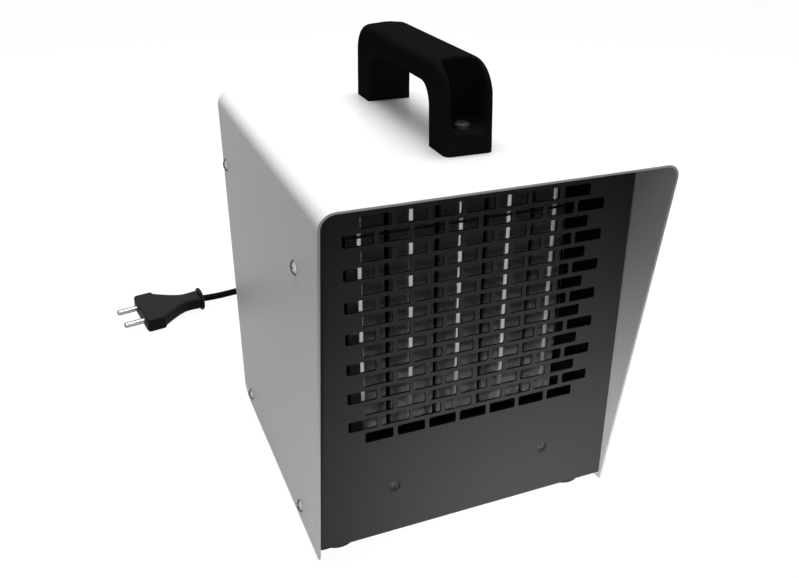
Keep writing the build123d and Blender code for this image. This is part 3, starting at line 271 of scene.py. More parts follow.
def refined(node, body, material, soften=0.3, smooth=32.0):
    """A CAD node's own form with its edges softened."""
    piece(node + "_made", cad_form(node, flat=True), body, material, (node,), smooth, soften)


# ================================================================ finishes
MIX_INLETS = (0, 6, 7)     # the mix node's factor and its two colours
MIX_OUTLET = 2             # and the colour it gives
PATCH_SCALE = 9.0
PEEL_SCALE = 900.0
CLOUD_SCALE = 22.0
GRAIN_SCALE = 1800.0
STREAK_SCALE = (60.0, 60.0, 1500.0)
DULLING_SCALE = 55.0
DULLING_GAIN = 1.8


def feed(tree, node, inputs):
    """Sets a node's inlets to values, or links other nodes' outlets to them."""
    for inlet, value in inputs.items():
        if isinstance(value, bpy.types.NodeSocket):
            tree.links.new(value, node.inputs[inlet])
        else:
            node.inputs[inlet].default_value = value
    return node


def placed(tree, kind, inputs=None, **settings):
    """A new shader node with its settings and its inlets."""
    node = tree.nodes.new("ShaderNode" + kind)
    for label, value in settings.items():
        setattr(node, label, value)
    return feed(tree, node, inputs or {})


def math_node(tree, operation, first, second):
    return placed(tree, "Math", {0: first, 1: second}, operation=operation).outputs[0]


def ranged(tree, value, low, high, ends="To"):
    """A 0 to 1 value stretched to lie between two others or, with "From" as ends, those two stretched to 0 and 1."""
    return placed(tree, "MapRange", {"Value": value, ends + " Min": low, ends + " Max": high}).outputs["Result"]


def noise(tree, vector, scale, detail, roughness=0.55):
    return placed(tree, "TexNoise", {"Vector": vector, "Scale": scale, "Detail": detail,
                                     "Roughness": roughness}).outputs["Fac"]


def mixed_colour(tree, *factor_and_colours):
    return placed(tree, "Mix", dict(zip(MIX_INLETS, factor_and_colours)), data_type="RGBA").outputs[MIX_OUTLET]


def shade(value):
    """A colour from one grey value or from three."""
    return (*value, 1.0) if isinstance(value, tuple) else (value, value, value, 1.0)


def new_group(name, scale=None):
    """A group with the sockets that every finish uses, and a scale where one is given; also returns its inlets."""
    group = bpy.data.node_groups.new(name, "ShaderNodeTree")
    for way, sockets in (("INPUT", (("Vector", "Vector"), ("Tone", "Color"), ("Second Tone", "Color"),
                                    ("Rough From", "Float"), ("Rough To", "Float"))),
                         ("OUTPUT", (("Color", "Color"), ("Roughness", "Float"), ("Height", "Float")))):
        for label, kind in sockets:
            group.interface.new_socket(name=label, in_out=way, socket_type="NodeSocket" + kind)
    if scale:
        kind = "NodeSocketVector" if isinstance(scale, tuple) else "NodeSocketFloat"
        group.interface.new_socket(name="Scale", in_out="INPUT", socket_type=kind).default_value = scale
    return group, group.nodes.new("NodeGroupInput").outputs


def put_out(group, inlet, share, height):
    """What every group puts out: its tones and its roughness, both by one share, and the skin's height."""
    feed(group, group.nodes.new("NodeGroupOutput"), {
        "Color": mixed_colour(group, share, inlet["Tone"], inlet["Second Tone"]),
        "Roughness": ranged(group, share, inlet["Rough From"], inlet["Rough To"]), "Height": height})
    return group


def make_coat_group():
    """Baked powder coat: slow changes of shade and gloss, and the fine orange-peel skin."""
    group, inlet = new_group("powder coat", PEEL_SCALE)
    patch = noise(group, inlet["Vector"], PATCH_SCALE, 4.0)
    return put_out(group, inlet, patch, noise(group, inlet["Vector"], inlet["Scale"], 2.0, 0.4))


def make_moulding_group():
    """Spark-eroded moulded plastic: fine grain, faint flow clouds and slightly shinier worn spots."""
    group, inlet = new_group("moulded grain")
    cloud = noise(group, inlet["Vector"], CLOUD_SCALE, 5.0)
    return put_out(group, inlet, cloud, noise(group, inlet["Vector"], GRAIN_SCALE, 1.0, 0.5))


def make_metal_group():
    """Bare sheet or turned metal: drawn streaks along one axis, cloudy dulling and small stains."""
    group, inlet = new_group("drawn metal", STREAK_SCALE)
    stretch = placed(group, "VectorMath", {0: inlet["Vector"], 1: inlet["Scale"]}, operation="MULTIPLY")
    streak = noise(group, stretch.outputs[0], 1.0, 2.0)
    cloud = noise(group, inlet["Vector"], DULLING_SCALE, 4.0, 0.6)
    share = math_node(group, "MULTIPLY", math_node(group, "MULTIPLY", streak, cloud), DULLING_GAIN)
    return put_out(group, inlet, share, streak)


coat = make_coat_group()
moulding = make_moulding_group()
metal = make_metal_group()

RELIEF_DEPTH = 0.00005
# How soon the painted dark rim comes in towards the silhouette: painted shade standing in for dark reflections.
PAINTED_RIM_BLEND = 0.72
# The near black of the painted depth shade.
PAINTED_DEPTH_SHADE = 0.002


def finish(name, group, tones, rough=(0.25, 0.45), scale=None, metallic=0.0, bump=0.1, specular=0.5, painted_rim_shade=None,
           painted_shade_inwards=None):
    """A material whose colour, roughness and skin come from one of the groups, with its own values.

    The tones are two greys or two colours, and each has its own roughness. With a painted rim shade, the colour and
    the metal's edge tint fall off to it where the surface turns away from the eye: painted dark reflections at the
    rims.
    With two places along Y as painted_shade_inwards, the colour falls off to near black between them: painted shade
    deeper in the form.
    """
    material = bpy.data.materials.new(name)
    material.use_nodes = True
    tree = material.node_tree
    place = placed(tree, "TexCoord").outputs["Object"]
    values = {"Vector": place, "Tone": shade(tones[0]), "Second Tone": shade(tones[1]), "Rough From": rough[0],
              "Rough To": rough[1]}
    if scale:
        values["Scale"] = scale
    look = placed(tree, "Group", values, node_tree=group).outputs
    colour = look["Color"]
    shader = next(node for node in tree.nodes if node.type == "BSDF_PRINCIPLED")
    # Painted shade at the rims: the colour and the edge tint go dark where the surface turns away, standing in for dark
    # reflections.
    if painted_rim_shade:
        painted_rim_mask = placed(tree, "LayerWeight", {"Blend": PAINTED_RIM_BLEND}).outputs["Facing"]
        colour = mixed_colour(tree, painted_rim_mask, colour, shade(painted_rim_shade))
        shader.inputs["Specular Tint"].default_value = shade(painted_rim_shade)
    # Painted shade: the colour goes near black deeper along Y, standing in for the shade between the fins' folds.
    if painted_shade_inwards:
        along = placed(tree, "SeparateXYZ", {0: place}).outputs["Y"]
        colour = mixed_colour(tree, ranged(tree, along, *painted_shade_inwards, ends="From"), colour, shade(PAINTED_DEPTH_SHADE))
    relief = placed(tree, "Bump", {"Strength": bump, "Distance": RELIEF_DEPTH, "Height": look["Height"]})
    feed(tree, shader, {"Base Color": colour, "Roughness": look["Roughness"], "Metallic": metallic,
                        "Specular IOR Level": specular, "Normal": relief.outputs["Normal"]})
    return material


white_enamel = finish("white enamel", coat, (0.88, 0.87), (0.36, 0.42), bump=0.03, specular=0.12)
charcoal_enamel = finish("charcoal enamel", coat, ((0.066, 0.0666, 0.068), (0.073, 0.0736, 0.075)), (0.42, 0.5), 1300.0,
                         bump=0.08, specular=0.02)
# Painted shade: near black on the sheets' cut edges, where the slots' rims lie in shade.
painted_edge_shade = finish("painted edge shade", coat, (0.010, 0.014), (0.5, 0.6), 1300.0, bump=0.08, specular=0.01)
black_moulding = finish("black moulding", moulding, (0.0065, 0.0080), (0.44, 0.34), bump=0.12, specular=0.0)
plug_black = finish("plug moulding", moulding, (0.022, 0.030), (0.55, 0.42), bump=0.2, specular=0.03)
dark_moulding = finish("heat-proof moulding", moulding, (0.006, 0.009), (0.75, 0.6), bump=0.3, specular=0.05)
dial_moulding = finish("dial moulding", moulding, (0.012, 0.018), (0.46, 0.34), bump=0.12, specular=0.12)
dial_print = finish("dial print", moulding, (0.72, 0.66), (0.55, 0.45))
lead_sheath = finish("lead sheath", moulding, (0.004, 0.007), (0.5, 0.38), specular=0.01)
foot_rubber = finish("foot rubber", moulding, (0.014, 0.024), (0.8, 0.65), bump=0.3, specular=0.25)
natural_moulding = finish("natural moulding", moulding, ((0.62, 0.60, 0.55), (0.55, 0.53, 0.48)), (0.5, 0.4), bump=0.15)
winding_tape = finish("winding tape", moulding, ((0.42, 0.30, 0.06), (0.34, 0.23, 0.05)), (0.45, 0.3), bump=0.2)
wire_sleeve = finish("wire sleeve", moulding, ((0.03, 0.07, 0.17), (0.04, 0.09, 0.2)), (0.5, 0.4))
zinc_sheet = finish("galvanised sheet", metal, ((0.46, 0.463, 0.47), (0.30, 0.303, 0.31)), (0.32, 0.55), metallic=1.0,
                    bump=0.15)
# The nickel's rims get a painted dark reflection.
nickel_plate = finish("nickel plate", metal, ((0.78, 0.77, 0.74), (0.55, 0.54, 0.52)), (0.16, 0.3), metallic=1.0,
                      bump=0.06, painted_rim_shade=0.04)
# Dark screw heads; on the handle's screws the darkness is painted shade at the bottom of their pockets.
dark_screw_and_painted_shade = finish("dark screw and painted shade", metal, (0.11, 0.08), (0.3, 0.42), bump=0.06, specular=0.06,
                          painted_rim_shade=0.012)
bright_aluminium = finish("bright aluminium", metal, (0.86, 0.66), (0.35, 0.5), metallic=0.85)
# The fins go near black deeper along Y: painted shade between the folds.
fin_foil = finish("fin foil", metal, (0.24, 0.17), (0.45, 0.6), (900.0, 60.0, 900.0), bump=0.2, specular=0.02,
                  painted_shade_inwards=(-0.0545, -0.0505))
fan_sheet = finish("fan sheet", metal, (0.5, 0.36), (0.35, 0.5), metallic=1.0)
spring_steel = finish("spring steel", metal, (0.33, 0.2), (0.25, 0.4), metallic=1.0)
lamination_steel = finish("lamination steel", metal, (0.2, 0.1), (0.35, 0.5), (40.0, 2500.0, 40.0), metallic=1.0,
                          bump=0.4)
bracket_alloy = finish("cast bracket", metal, (0.42, 0.3), (0.45, 0.6), (700.0, 700.0, 700.0), metallic=1.0,
                       bump=0.3)
bearing_bronze = finish("bearing bronze", metal, ((0.45, 0.28, 0.10), (0.28, 0.17, 0.07)), metallic=1.0)
capillary_copper = finish("tarnished copper", metal, ((0.014, 0.011, 0.010), (0.009, 0.008, 0.008)), specular=0.05)
# The pins' rims get a painted dark reflection.
pin_plate = finish("pin plate", metal, ((0.62, 0.61, 0.59), (0.42, 0.41, 0.39)), (0.18, 0.3), metallic=1.0, bump=0.05,
                   painted_rim_shade=0.02)


# ================================================================ folded cover
COVER_BEND = 9.0
COVER_WALL = 1.5
CORNER_CUT = (10.0, 6.7)  # off each side's lower rear corner, along Y and Z
PANEL_RECESS = 0.5        # the outlet panel lies this far behind the cover's lower front corner


def make_cover():
    low, high = span("cover")
    bm = bmesh.new()
    for vert in add_block(bm, low, high):
        if vert.co.y < 0 and vert.co.z < high.z - 1:
            vert.co.y = span("front_panel")[0].y - PANEL_RECESS
    bm.normal_update()
    gone = [face for face in bm.faces if face.normal.z < -0.5 or abs(face.normal.y) > 0.5]
    bmesh.ops.delete(bm, geom=gone, context="FACES")
    sliced(bm, (0, high.y - CORNER_CUT[0], low.z), (0, CORNER_CUT[1], -CORNER_CUT[0]), True)
    folds = [edge for edge in bm.edges if len(edge.link_faces) == 2]
    round_edges(bm, folds, COVER_BEND, 14)
    piece("folded_cover", bm, "heater", white_enamel, ("cover",), wall=COVER_WALL, soften=0.3)


# ================================================================ slotted panels
SLOT_CORNER = 0.9
PANEL_CORNER = 6.0
SHEET = 1.2
PANEL_BEND = 1.5
FLANGE_FROM = 28.5        # the side flanges start above the base tray's walls
FLANGE_TO = 9.2           # and end this far under the panel's top


def brick_slots(rows, columns, pitch, top_z):
    """Centres (x, z) of slots in a brick pattern: the second row and every other one is the wide one."""
    spots = []
    for row in range(rows):
        count = columns if row % 2 else columns - 1
        spots += [((place - (count - 1) / 2) * pitch[0], top_z - row * pitch[1]) for place in range(count)]
    return spots


def upright_face(bm, points, y):
    return bm.faces.new([bm.verts.new((x, y, z)) for x, z in points])


def bent_back(bm, edges, centre, axis, low_z, high_z, depth):
    """Edges rolled round a bend, and drawn out behind it as a flange between two heights."""
    verts = list(dict.fromkeys(vert for edge in edges for vert in edge.verts))
    made = bmesh.ops.spin(bm, geom=verts + edges, cent=centre, axis=axis, dvec=(0, 0, 0), angle=pi / 2, steps=4,
                          use_merge=False, use_duplicate=False)
    last = [item for item in made["geom_last"] if isinstance(item, bmesh.types.BMEdge)]
    chosen = [edge for edge in last if low_z < sum(vert.co.z for vert in edge.verts) / 2 < high_z]
    far = bmesh.ops.extrude_edge_only(bm, edges=chosen)["geom"]
    move(bm, (0, depth, 0), [item for item in far if isinstance(item, bmesh.types.BMVert)])


def slotted_panel(name, node, spots, size, holes=(), bottom_bend=False):
    """One folded sheet: a slotted face with rounded top corners, and flanges bent back at both sides."""
    low, high = span(node)
    front_y, side_x = low.y, high.x - PANEL_BEND
    foot_z = low.z + PANEL_BEND if bottom_bend else low.z
    flange_top = high.z - FLANGE_TO
    bm = bmesh.new()
    right = [(side_x, foot_z), (side_x, FLANGE_FROM), (side_x, flange_top), (side_x, high.z)]
    outline = upright_face(bm, [(-side_x, foot_z), *right, *((-x, z) for x, z in right[:0:-1])], front_y)
    top_corners = [vert for vert in outline.verts if vert.co.z > high.z - 1]
    half_x, half_z = size[0] / 2, size[1] / 2
    slot_verts = []
    for x, z in spots:
        slot_verts += upright_face(bm, [(x - half_x, z - half_z), (x + half_x, z - half_z), (x + half_x, z + half_z),
                                        (x - half_x, z + half_z)], front_y).verts
    round_corners(bm, slot_verts, SLOT_CORNER, 3)
    round_corners(bm, top_corners, PANEL_CORNER, 8)
    for x, z, radius in holes:
        ring = bmesh.ops.create_circle(bm, cap_ends=False, segments=28, radius=radius)["verts"]
        put(bm, ring, "-y", (x, front_y, z))
    bmesh.ops.delete(bm, geom=bm.faces[:], context="FACES_ONLY")
    bmesh.ops.triangle_fill(bm, use_beauty=True, use_dissolve=False, edges=bm.edges[:])
    depth = high.y - front_y - PANEL_BEND
    rims = [edge for edge in bm.edges if edge.is_boundary]
    for side in (-1, 1):
        upright = [edge for edge in rims if all(abs(vert.co.x - side * side_x) < 0.01 for vert in edge.verts)]
        bent_back(bm, upright, (side * side_x, front_y + PANEL_BEND, 0), (0, 0, side), FLANGE_FROM, flange_top, depth)
    if bottom_bend:
        level = [edge for edge in rims if all(abs(vert.co.z - foot_z) < 0.01 for vert in edge.verts)]
        bent_back(bm, level, (0, front_y + PANEL_BEND, foot_z), (1, 0, 0), 0, foot_z, depth)
    # The cut edges take the near-black finish: painted shade on the slots' rims.
    piece(name, bm, "heater", charcoal_enamel, (node,), wall=SHEET, soften=0.15, rim=painted_edge_shade)


OUTLET_SLOT = (17.2, 6.9)
OUTLET_ROWS = (15, 8, (19.85, 9.54), 220.5)      # rows, slots in a wide row, pitch, height of the top row
INTAKE_SLOT = (36.0, 5.5)
INTAKE_ROWS = (9, 3, (41.0, 12.0), 195.5)        # the middle row is level with the fan's axis
SPINDLE_HOLE = 4.0
GLAND_HOLE = 6.0


def make_panels():
    slotted_panel("outlet_panel", "front_panel", brick_slots(*OUTLET_ROWS), OUTLET_SLOT)
    bores = (("selector_knob", SPINDLE_HOLE), ("thermostat_knob", SPINDLE_HOLE), ("cord_gland", GLAND_HOLE))
    holes = [(middle_of(node).x, middle_of(node).z, radius) for node, radius in bores]
    slotted_panel("intake_panel", "rear_panel", brick_slots(*INTAKE_ROWS), INTAKE_SLOT, holes, bottom_bend=True)


# ================================================================ carrying handle
HANDLE_LEG = 24.0
HANDLE_LEAN = 2.5
HANDLE_GRIP = 15.7
HANDLE_OUTER = 19.0       # radius of the corners above the legs
HANDLE_INNER = 11.0       # and of the arch's
HANDLE_EDGE = 3.6
HANDLE_INNER_EDGE = 1.6
HANDLE_CROWN = 1.9        # the top falls off this far towards both flanks
POCKET_HALF = 10.5
POCKET_LEDGE = 12.0
POCKET_WALL = 4.4
POCKET_ROUND = 4.5
SCOOP_PAST = (6, 1)       # what cuts a pocket reaches this far past the leg's face and its top
ARCH_MARGIN = 0.3         # what lies this near the arch still counts as the arch's
HANDLE_SLICE = 3          # the top is sliced this finely before it is crowned
HANDLE_SKIN = 0.8
HANDLE_SEAT = 0.9         # the skin stays as it is below this height


def make_scoop(back, mouth, top):
    """What is taken out of a leg's outer face: a box with rounded inner corners."""
    scoop = bmesh.new()
    add_block(scoop, (-POCKET_HALF, min(back, mouth), POCKET_LEDGE), (POCKET_HALF, max(back, mouth), top))
    inner = [edge for edge in scoop.edges
             if not all(abs(vert.co.y - mouth) < 0.1 for vert in edge.verts)
             and not all(vert.co.z > top - 0.1 for vert in edge.verts)]
    round_edges(scoop, inner, POCKET_ROUND, 6)
    return scoop


def make_handle():
    low, high = span("handle")
    half, top = (high.y - low.y) / 2, high.z - low.z
    wide = (high.x - low.x) / 2
    inner = half - HANDLE_LEG
    under = top - HANDLE_GRIP
    outline = [(-half, 0), (-half + HANDLE_LEAN, top), (half - HANDLE_LEAN, top), (half, 0),
               (inner, 0), (inner - HANDLE_LEAN / 2, under), (-inner + HANDLE_LEAN / 2, under), (-inner, 0)]
    bm = bmesh.new()
    verts = list(bm.faces.new([bm.verts.new((low.x, y, z)) for y, z in outline]).verts)
    round_corners(bm, verts[1:3], HANDLE_OUTER, 12)
    round_corners(bm, [vert for vert in verts[5:7] if vert.is_valid], HANDLE_INNER, 10)
    grown(bm, bm.faces[:], (2 * wide, 0, 0))
    bmesh.ops.recalc_face_normals(bm, faces=bm.faces)
    bm.normal_update()

    def in_arch(vert):
        return abs(vert.co.y) < inner + ARCH_MARGIN and vert.co.z < under + ARCH_MARGIN

    def rims(of_arch):
        """Edges of both flanks, the arch's or the others, but for those on the cover."""
        return [edge for edge in bm.edges if len(edge.link_faces) == 2 and max(vert.co.z for vert in edge.verts) > 0.1
                and all(in_arch(vert) for vert in edge.verts) == of_arch
                and any(abs(face.normal.x) > 0.9 for face in edge.link_faces)
                and any(abs(face.normal.x) < 0.1 for face in edge.link_faces)]

    round_edges(bm, rims(False), HANDLE_EDGE, 5)
    round_edges(bm, rims(True), HANDLE_INNER_EDGE, 3)
    for x in range(-3 * HANDLE_SLICE, 3 * HANDLE_SLICE + 1, HANDLE_SLICE):
        sliced(bm, (x, 0, 0), (1, 0, 0), False)
    for vert in bm.verts:
        share = min(max((vert.co.z - top + HANDLE_OUTER) / HANDLE_OUTER, 0), 1)
        if not in_arch(vert):
            vert.co.z -= HANDLE_CROWN * (vert.co.x / wide) ** 2 * share
    for end in (-1, 1):
        bm = cut(bm, make_scoop(end * (inner + POCKET_WALL), end * (half + SCOOP_PAST[0]), top + SCOOP_PAST[1]))
    bm = moulded(bm, HANDLE_SKIN, 5, HANDLE_SEAT)
    move(bm, (0, middle_of("handle").y, low.z))
    piece("carry_handle", bm, "heater", black_moulding, ("handle",), smooth=60.0)


make_cover()
make_panels()
make_handle()


# ================================================================ screws
SIDE_HEAD = (4.3, 2.2)    # radius and height
PANEL_HEAD = (3.8, 1.8)
RECESS = (0.62, 0.11)     # the cross's reach and half its arms' width, as shares of the radius
RECESS_FLOOR = 0.35       # its floor, as a share of the height
HEAD_UNDERSIDE = 0.96     # as a share of the radius
DOME_STEPS = 7
SIDE_SCREWS = [(-67.5, 195.0), (106.5, 195.0), (-44.0, 18.5), (91.5, 18.5)]      # y and z


def cross_head(radius, dome):
    """A raised head with a cross recess, its seat at z = 0."""
    bm = bmesh.new()
    ball = (dome ** 2 + radius ** 2) / (2 * dome)
    reach = atan2(radius, ball - dome)
    profile = [(ball * sin(reach * step / DOME_STEPS), dome - ball + ball * cos(reach * step / DOME_STEPS))
               for step in range(DOME_STEPS, 0, -1)]
    turned(bm, [(0, 0), (radius * HEAD_UNDERSIDE, 0)] + profile + [(0, dome)], 32)
    cross = bmesh.new()
    reach, arm = (radius * share for share in RECESS)
    outline = []
    for quarter in range(4):
        spin = Matrix.Rotation(quarter * pi / 2, 3, "Z")
        outline += [spin @ Vector((x, y, dome * RECESS_FLOOR)) for x, y in ((reach, -arm), (reach, arm), (arm, arm))]
    grown(cross, [cross.faces.new([cross.verts.new(point) for point in outline])], (0, 0, dome + 1))
    return cut(bm, cross)


def screw_piece(name, node, head, places, material, soften):
    """One node's screws at places given as (direction, x, y, z, turn)."""
    bm, source = bmesh.new(), cross_head(*head)
    for direction, x, y, z, angle in places:
        fresh = add_form(bm, source.copy())
        turn(bm, Matrix.Rotation(angle, 3, "Z"), fresh)
        put(bm, fresh, direction, (x, y, z))
    source.free()
    piece(name, bm, "heater", material, (node,), soften=soften)


def make_screws():
    """Every screw has come to rest at an angle of its own."""
    low, high = span("cover")
    places = []
    for index, (y, z) in enumerate(SIDE_SCREWS):
        places += [("-x", low.x, y, z, 0.5 + index * 0.7), ("+x", high.x, y, z, 0.2 + index * 0.9)]
    screw_piece("cover_screws", "side_screws", SIDE_HEAD, places, nickel_plate, 0.12)
    for node, direction, material in (("front_panel_screws", "-y", dark_screw_and_painted_shade),
                                      ("rear_panel_screws", "+y", nickel_plate)):
        low, high = span(node)
        seat = low.y + PANEL_HEAD[1] if direction == "-y" else high.y - PANEL_HEAD[1]
        z, inset = (low.z + high.z) / 2, (high.z - low.z) / 2
        places = [(direction, low.x + inset, seat, z, 0.4), (direction, high.x - inset, seat, z, 1.1)]
        screw_piece(node + "_made", node, PANEL_HEAD, places, material, 0.1)


make_screws()


# ================================================================ rear dials
DIAL_DISC = [(0, 0), (15.4, 0), (16.0, 0.5), (15.6, 3.2), (14.7, 4.0), (13.8, 4.2), (13.0, 4.8), (12.6, 5.2),
             (11.8, 5.6), (0, 5.6)]     # radius and height, from the panel outwards
DIAL_TALL = 17.0
GRIP_FROM = 4.6
GRIP_HALF = (4.5, 12.2)
GRIP_CORNER = 3.0
GRIP_EDGE = 1.6
POINTER_HALF = 0.7
POINTER_SPAN = (2.2, 10.2)
POINTER_DEPTH = (0.4, 0.05)     # below the grip's top, and above it
TICK_SPAN = (17.6, 21.0)
TICK_HALF = 0.5
TICK_DEPTH = (0.02, 0.10)       # within the panel, and on it
DIALS = (("selector_knob", "selector", range(0, 136, 45)),      # node, body, ticks in degrees
         ("thermostat_knob", "thermostat", range(0, 271, 27)))


def make_grip():
    """The bar across a dial that fingers turn it by."""
    grip = bmesh.new()
    add_block(grip, (-GRIP_HALF[0], GRIP_FROM, -GRIP_HALF[1]), (GRIP_HALF[0], DIAL_TALL, GRIP_HALF[1]))
    corners = [edge for edge in grip.edges if abs(edge.verts[0].co.y - edge.verts[1].co.y) > 1]
    round_edges(grip, corners, GRIP_CORNER, 6)
    top = [edge for edge in grip.edges if all(vert.co.y > DIAL_TALL - 0.1 for vert in edge.verts)]
    round_edges(grip, top, GRIP_EDGE, 4)
    return grip


def make_dials():
    """Both dials with their pointers, and ticks on the panel, clockwise from the top as seen from behind."""
    panel_back = span("rear_panel")[0].y + SHEET
    marks = bmesh.new()
    for node, body, angles in DIALS:
        middle = middle_of(node)
        seat = (middle.x, span(node)[0].y, middle.z)
        bm = bmesh.new()
        put(bm, turned(bm, DIAL_DISC, 64), "+y", seat)
        move(bm, seat, add_form(bm, make_grip()))
        piece(node + "_made", bm, body, dial_moulding, (node,))
        line = bmesh.new()
        add_block(line, (-POINTER_HALF, DIAL_TALL - POINTER_DEPTH[0], POINTER_SPAN[0]),
                  (POINTER_HALF, DIAL_TALL + POINTER_DEPTH[1], POINTER_SPAN[1]))
        move(line, seat)
        piece(node + "_pointer", line, body, dial_print)
        for angle in angles:
            tick = add_block(marks, (-TICK_HALF, -TICK_DEPTH[0], TICK_SPAN[0]),
                             (TICK_HALF, TICK_DEPTH[1], TICK_SPAN[1]))
            turn(marks, Matrix.Rotation(-radians(angle), 3, "Y"), tick)
            move(marks, (middle.x, panel_back, middle.z), tick)
    piece("dial_marks", marks, "heater", dial_print)


make_dials()


# ================================================================ feet
FOOT_HOLE = 2.3
FOOT_POCKET = 4.4         # round the screw's head
FOOT_SEAT = 5.0           # of that head, above the floor
FOOT_TAPER = 1.0


def make_feet():
    for node in ("foot_front_left", "foot_front_right", "foot_rear_left", "foot_rear_right"):
        low, high = span(node)
        middle = middle_of(node)
        base, tall = (high.x - low.x) / 2, high.z
        tip = base - FOOT_TAPER
        bm = bmesh.new()
        turned(bm, [(FOOT_HOLE, FOOT_SEAT), (FOOT_POCKET, FOOT_SEAT), (FOOT_POCKET, 0.5), (FOOT_POCKET + 0.5, 0),
                    (tip - 1.2, 0), (tip - 0.35, 0.35), (tip, 1.2), (base, tall - 0.8), (base - 0.4, tall),
                    (FOOT_HOLE, tall), (FOOT_HOLE, FOOT_SEAT)], 48)
        move(bm, (middle.x, middle.y, 0))
        piece(node + "_rubber", bm, "heater", foot_rubber, (node,), smooth=40.0)


make_feet()


# ================================================================ heating element
TUBE_PLACES = [index * 30.5 for index in range(-2, 3)]
TUBE_HALF = 1.3
FIN_REACH = 15.0          # of the strips from the tubes' middles
FIN_GAP = 3.2             # between strips of neighbouring tubes, on the left strip's side
FIN_PITCH = 0.85
FIN_INSET = 0.2
FOIL = 0.35
FRAME_CUT = 6.5           # the fins reach this far down into the lower frame


def make_tubes():
    low, high = span("heating_tubes")
    bm = bmesh.new()
    for x in TUBE_PLACES:
        add_block(bm, (x - TUBE_HALF, low.y, low.z), (x + TUBE_HALF, high.y, high.z))
    piece("element_tubes", bm, "heater", bright_aluminium, ("heating_tubes",), soften=0.4,
          segments=3)


def add_fin_strip(bm, x0, x1, low, high):
    """Foil folded to and fro between two places across, one run above the other, drawn back along Y."""
    half = FOIL / 2
    front_y = low.y + FIN_INSET
    runs = int((high.z - low.z - FOIL) / FIN_PITCH) + 1
    pairs = []
    for run in range(runs):
        z = low.z + half + run * FIN_PITCH
        way = -1 if run % 2 else 1
        for end, x in enumerate((x1, x0) if run % 2 else (x0, x1)):
            lean = 0 if (run, end) in ((0, 0), (runs - 1, 1)) else half
            pairs.append([bm.verts.new((x + side * lean, front_y, z - side * half * way)) for side in (-1, 1)])
    faces = [bm.faces.new((first[0], second[0], second[1], first[1])) for first, second in zip(pairs, pairs[1:])]
    grown(bm, faces, (0, high.y - low.y - 2 * FIN_INSET, 0))


def make_fins():
    """Ten corrugated strips of foil, folded across the air stream, one on each side of every tube."""
    low, high = span("heating_fins")
    low.z -= FRAME_CUT
    bm = bmesh.new()
    beside = TUBE_HALF + 0.05
    for x in TUBE_PLACES:
        left = low.x if x == TUBE_PLACES[0] else x - TUBE_PLACES[-2] + FIN_REACH + FIN_GAP
        right = high.x if x == TUBE_PLACES[-1] else x + FIN_REACH
        for x0, x1 in ((left, x - beside), (x + beside, right)):
            add_fin_strip(bm, x0 + FOIL, x1 - FOIL, low, high)
    piece("element_fins", bm, "heater", fin_foil, ("heating_fins",))


def make_lower_frame():
    bm = cad_form("element_lower_frame")
    sliced(bm, (0, 0, span("element_lower_frame")[1].z - FRAME_CUT - 0.5), (0, 0, 1), True)
    bmesh.ops.holes_fill(bm, edges=[edge for edge in bm.edges if edge.is_boundary], sides=0)
    piece("element_lower_frame_made", bm, "heater", dark_moulding, ("element_lower_frame",),
          soften=0.3)


make_tubes()
make_fins()
make_lower_frame()


# ================================================================ pieces that keep their own form
for node, slot, material in (
        # The air duct, galvanised sheet in the part file, takes the near-black moulding: painted shade, so that the
        # slots' ends look black.
        ("base_tray", "zinc_sheet", zinc_sheet), ("air_duct", "zinc_sheet", dark_moulding),
        ("fan_deck", "zinc_sheet", zinc_sheet), ("motor_strap", "zinc_sheet", zinc_sheet),
        ("element_upper_frame", "dark_moulding", dark_moulding),
        ("motor_stator", "lamination_steel", lamination_steel), ("motor_coil", "winding_wrap", winding_tape),
        ("motor_front_bracket", "bracket_alloy", bracket_alloy), ("motor_rear_bracket", "bracket_alloy", bracket_alloy),
        ("selector_switch", "dark_moulding", dark_moulding), ("thermostat_body", "dark_moulding", dark_moulding),
        ("overheat_cutout", "dark_moulding", dark_moulding), ("terminal_block", "white_moulding", natural_moulding)):
    refined(node, "heater", material)
refined("impeller", "fan", fan_sheet, 0.2, 25.0)

for node, material in (
        # The handle's screws take the dark finish as painted shade in their pockets.
        ("chassis_screws", nickel_plate), ("handle_screws", dark_screw_and_painted_shade), ("handle_nuts", nickel_plate),
        ("foot_screws", nickel_plate), ("foot_nuts", nickel_plate), ("element_springs", spring_steel),
        ("element_terminals", nickel_plate), ("overheat_capillary", capillary_copper), ("motor_screws", nickel_plate),
        ("motor_bushes", bearing_bronze), ("motor_shaft", spring_steel),
        ("motor_rotor", lamination_steel), ("selector_spindle", natural_moulding),
        ("thermostat_spindle", natural_moulding), ("lead_inside", lead_sheath), ("wiring", wire_sleeve)):
    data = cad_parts[node].data
    data.materials.clear()
    data.materials.append(material)


# ================================================================ plug
PLUG_FACE = Vector((-161.2, 267.1, 10.7))
PLUG_HEADING = radians(11.3)
PLUG_ROLL = radians(12.0)
PLUG_LENGTH = 54.4
PLUG_HEAD = 16.5          # length of the wide end
PLUG_HALF = 19.75
PLUG_THICK = 14.1
PLUG_STEP = 0.9           # the head stands this far out round the body
PLUG_NECK = 6.7
PLUG_TAPER_END = 41.0
PLUG_HOLLOW = 1.35        # power of the taper's curve
PLUG_EDGE = 3.2
PLUG_SKIN = 0.6
FLANGE_THICK = 1.8
FLANGE_DISC = [(0, -0.5), (9.85, 0), (10.45, 0.5), (10.45, 1.3), (9.95, FLANGE_THICK), (3.6, FLANGE_THICK),
               (3.2, 1.3), (0, 1.3)]    # radius and height, from the plug's rear outwards
PLUG_WAY = Vector((cos(PLUG_HEADING), sin(PLUG_HEADING), 0))
PLUG_ENTRY = PLUG_FACE + PLUG_WAY * (PLUG_LENGTH + FLANGE_THICK)
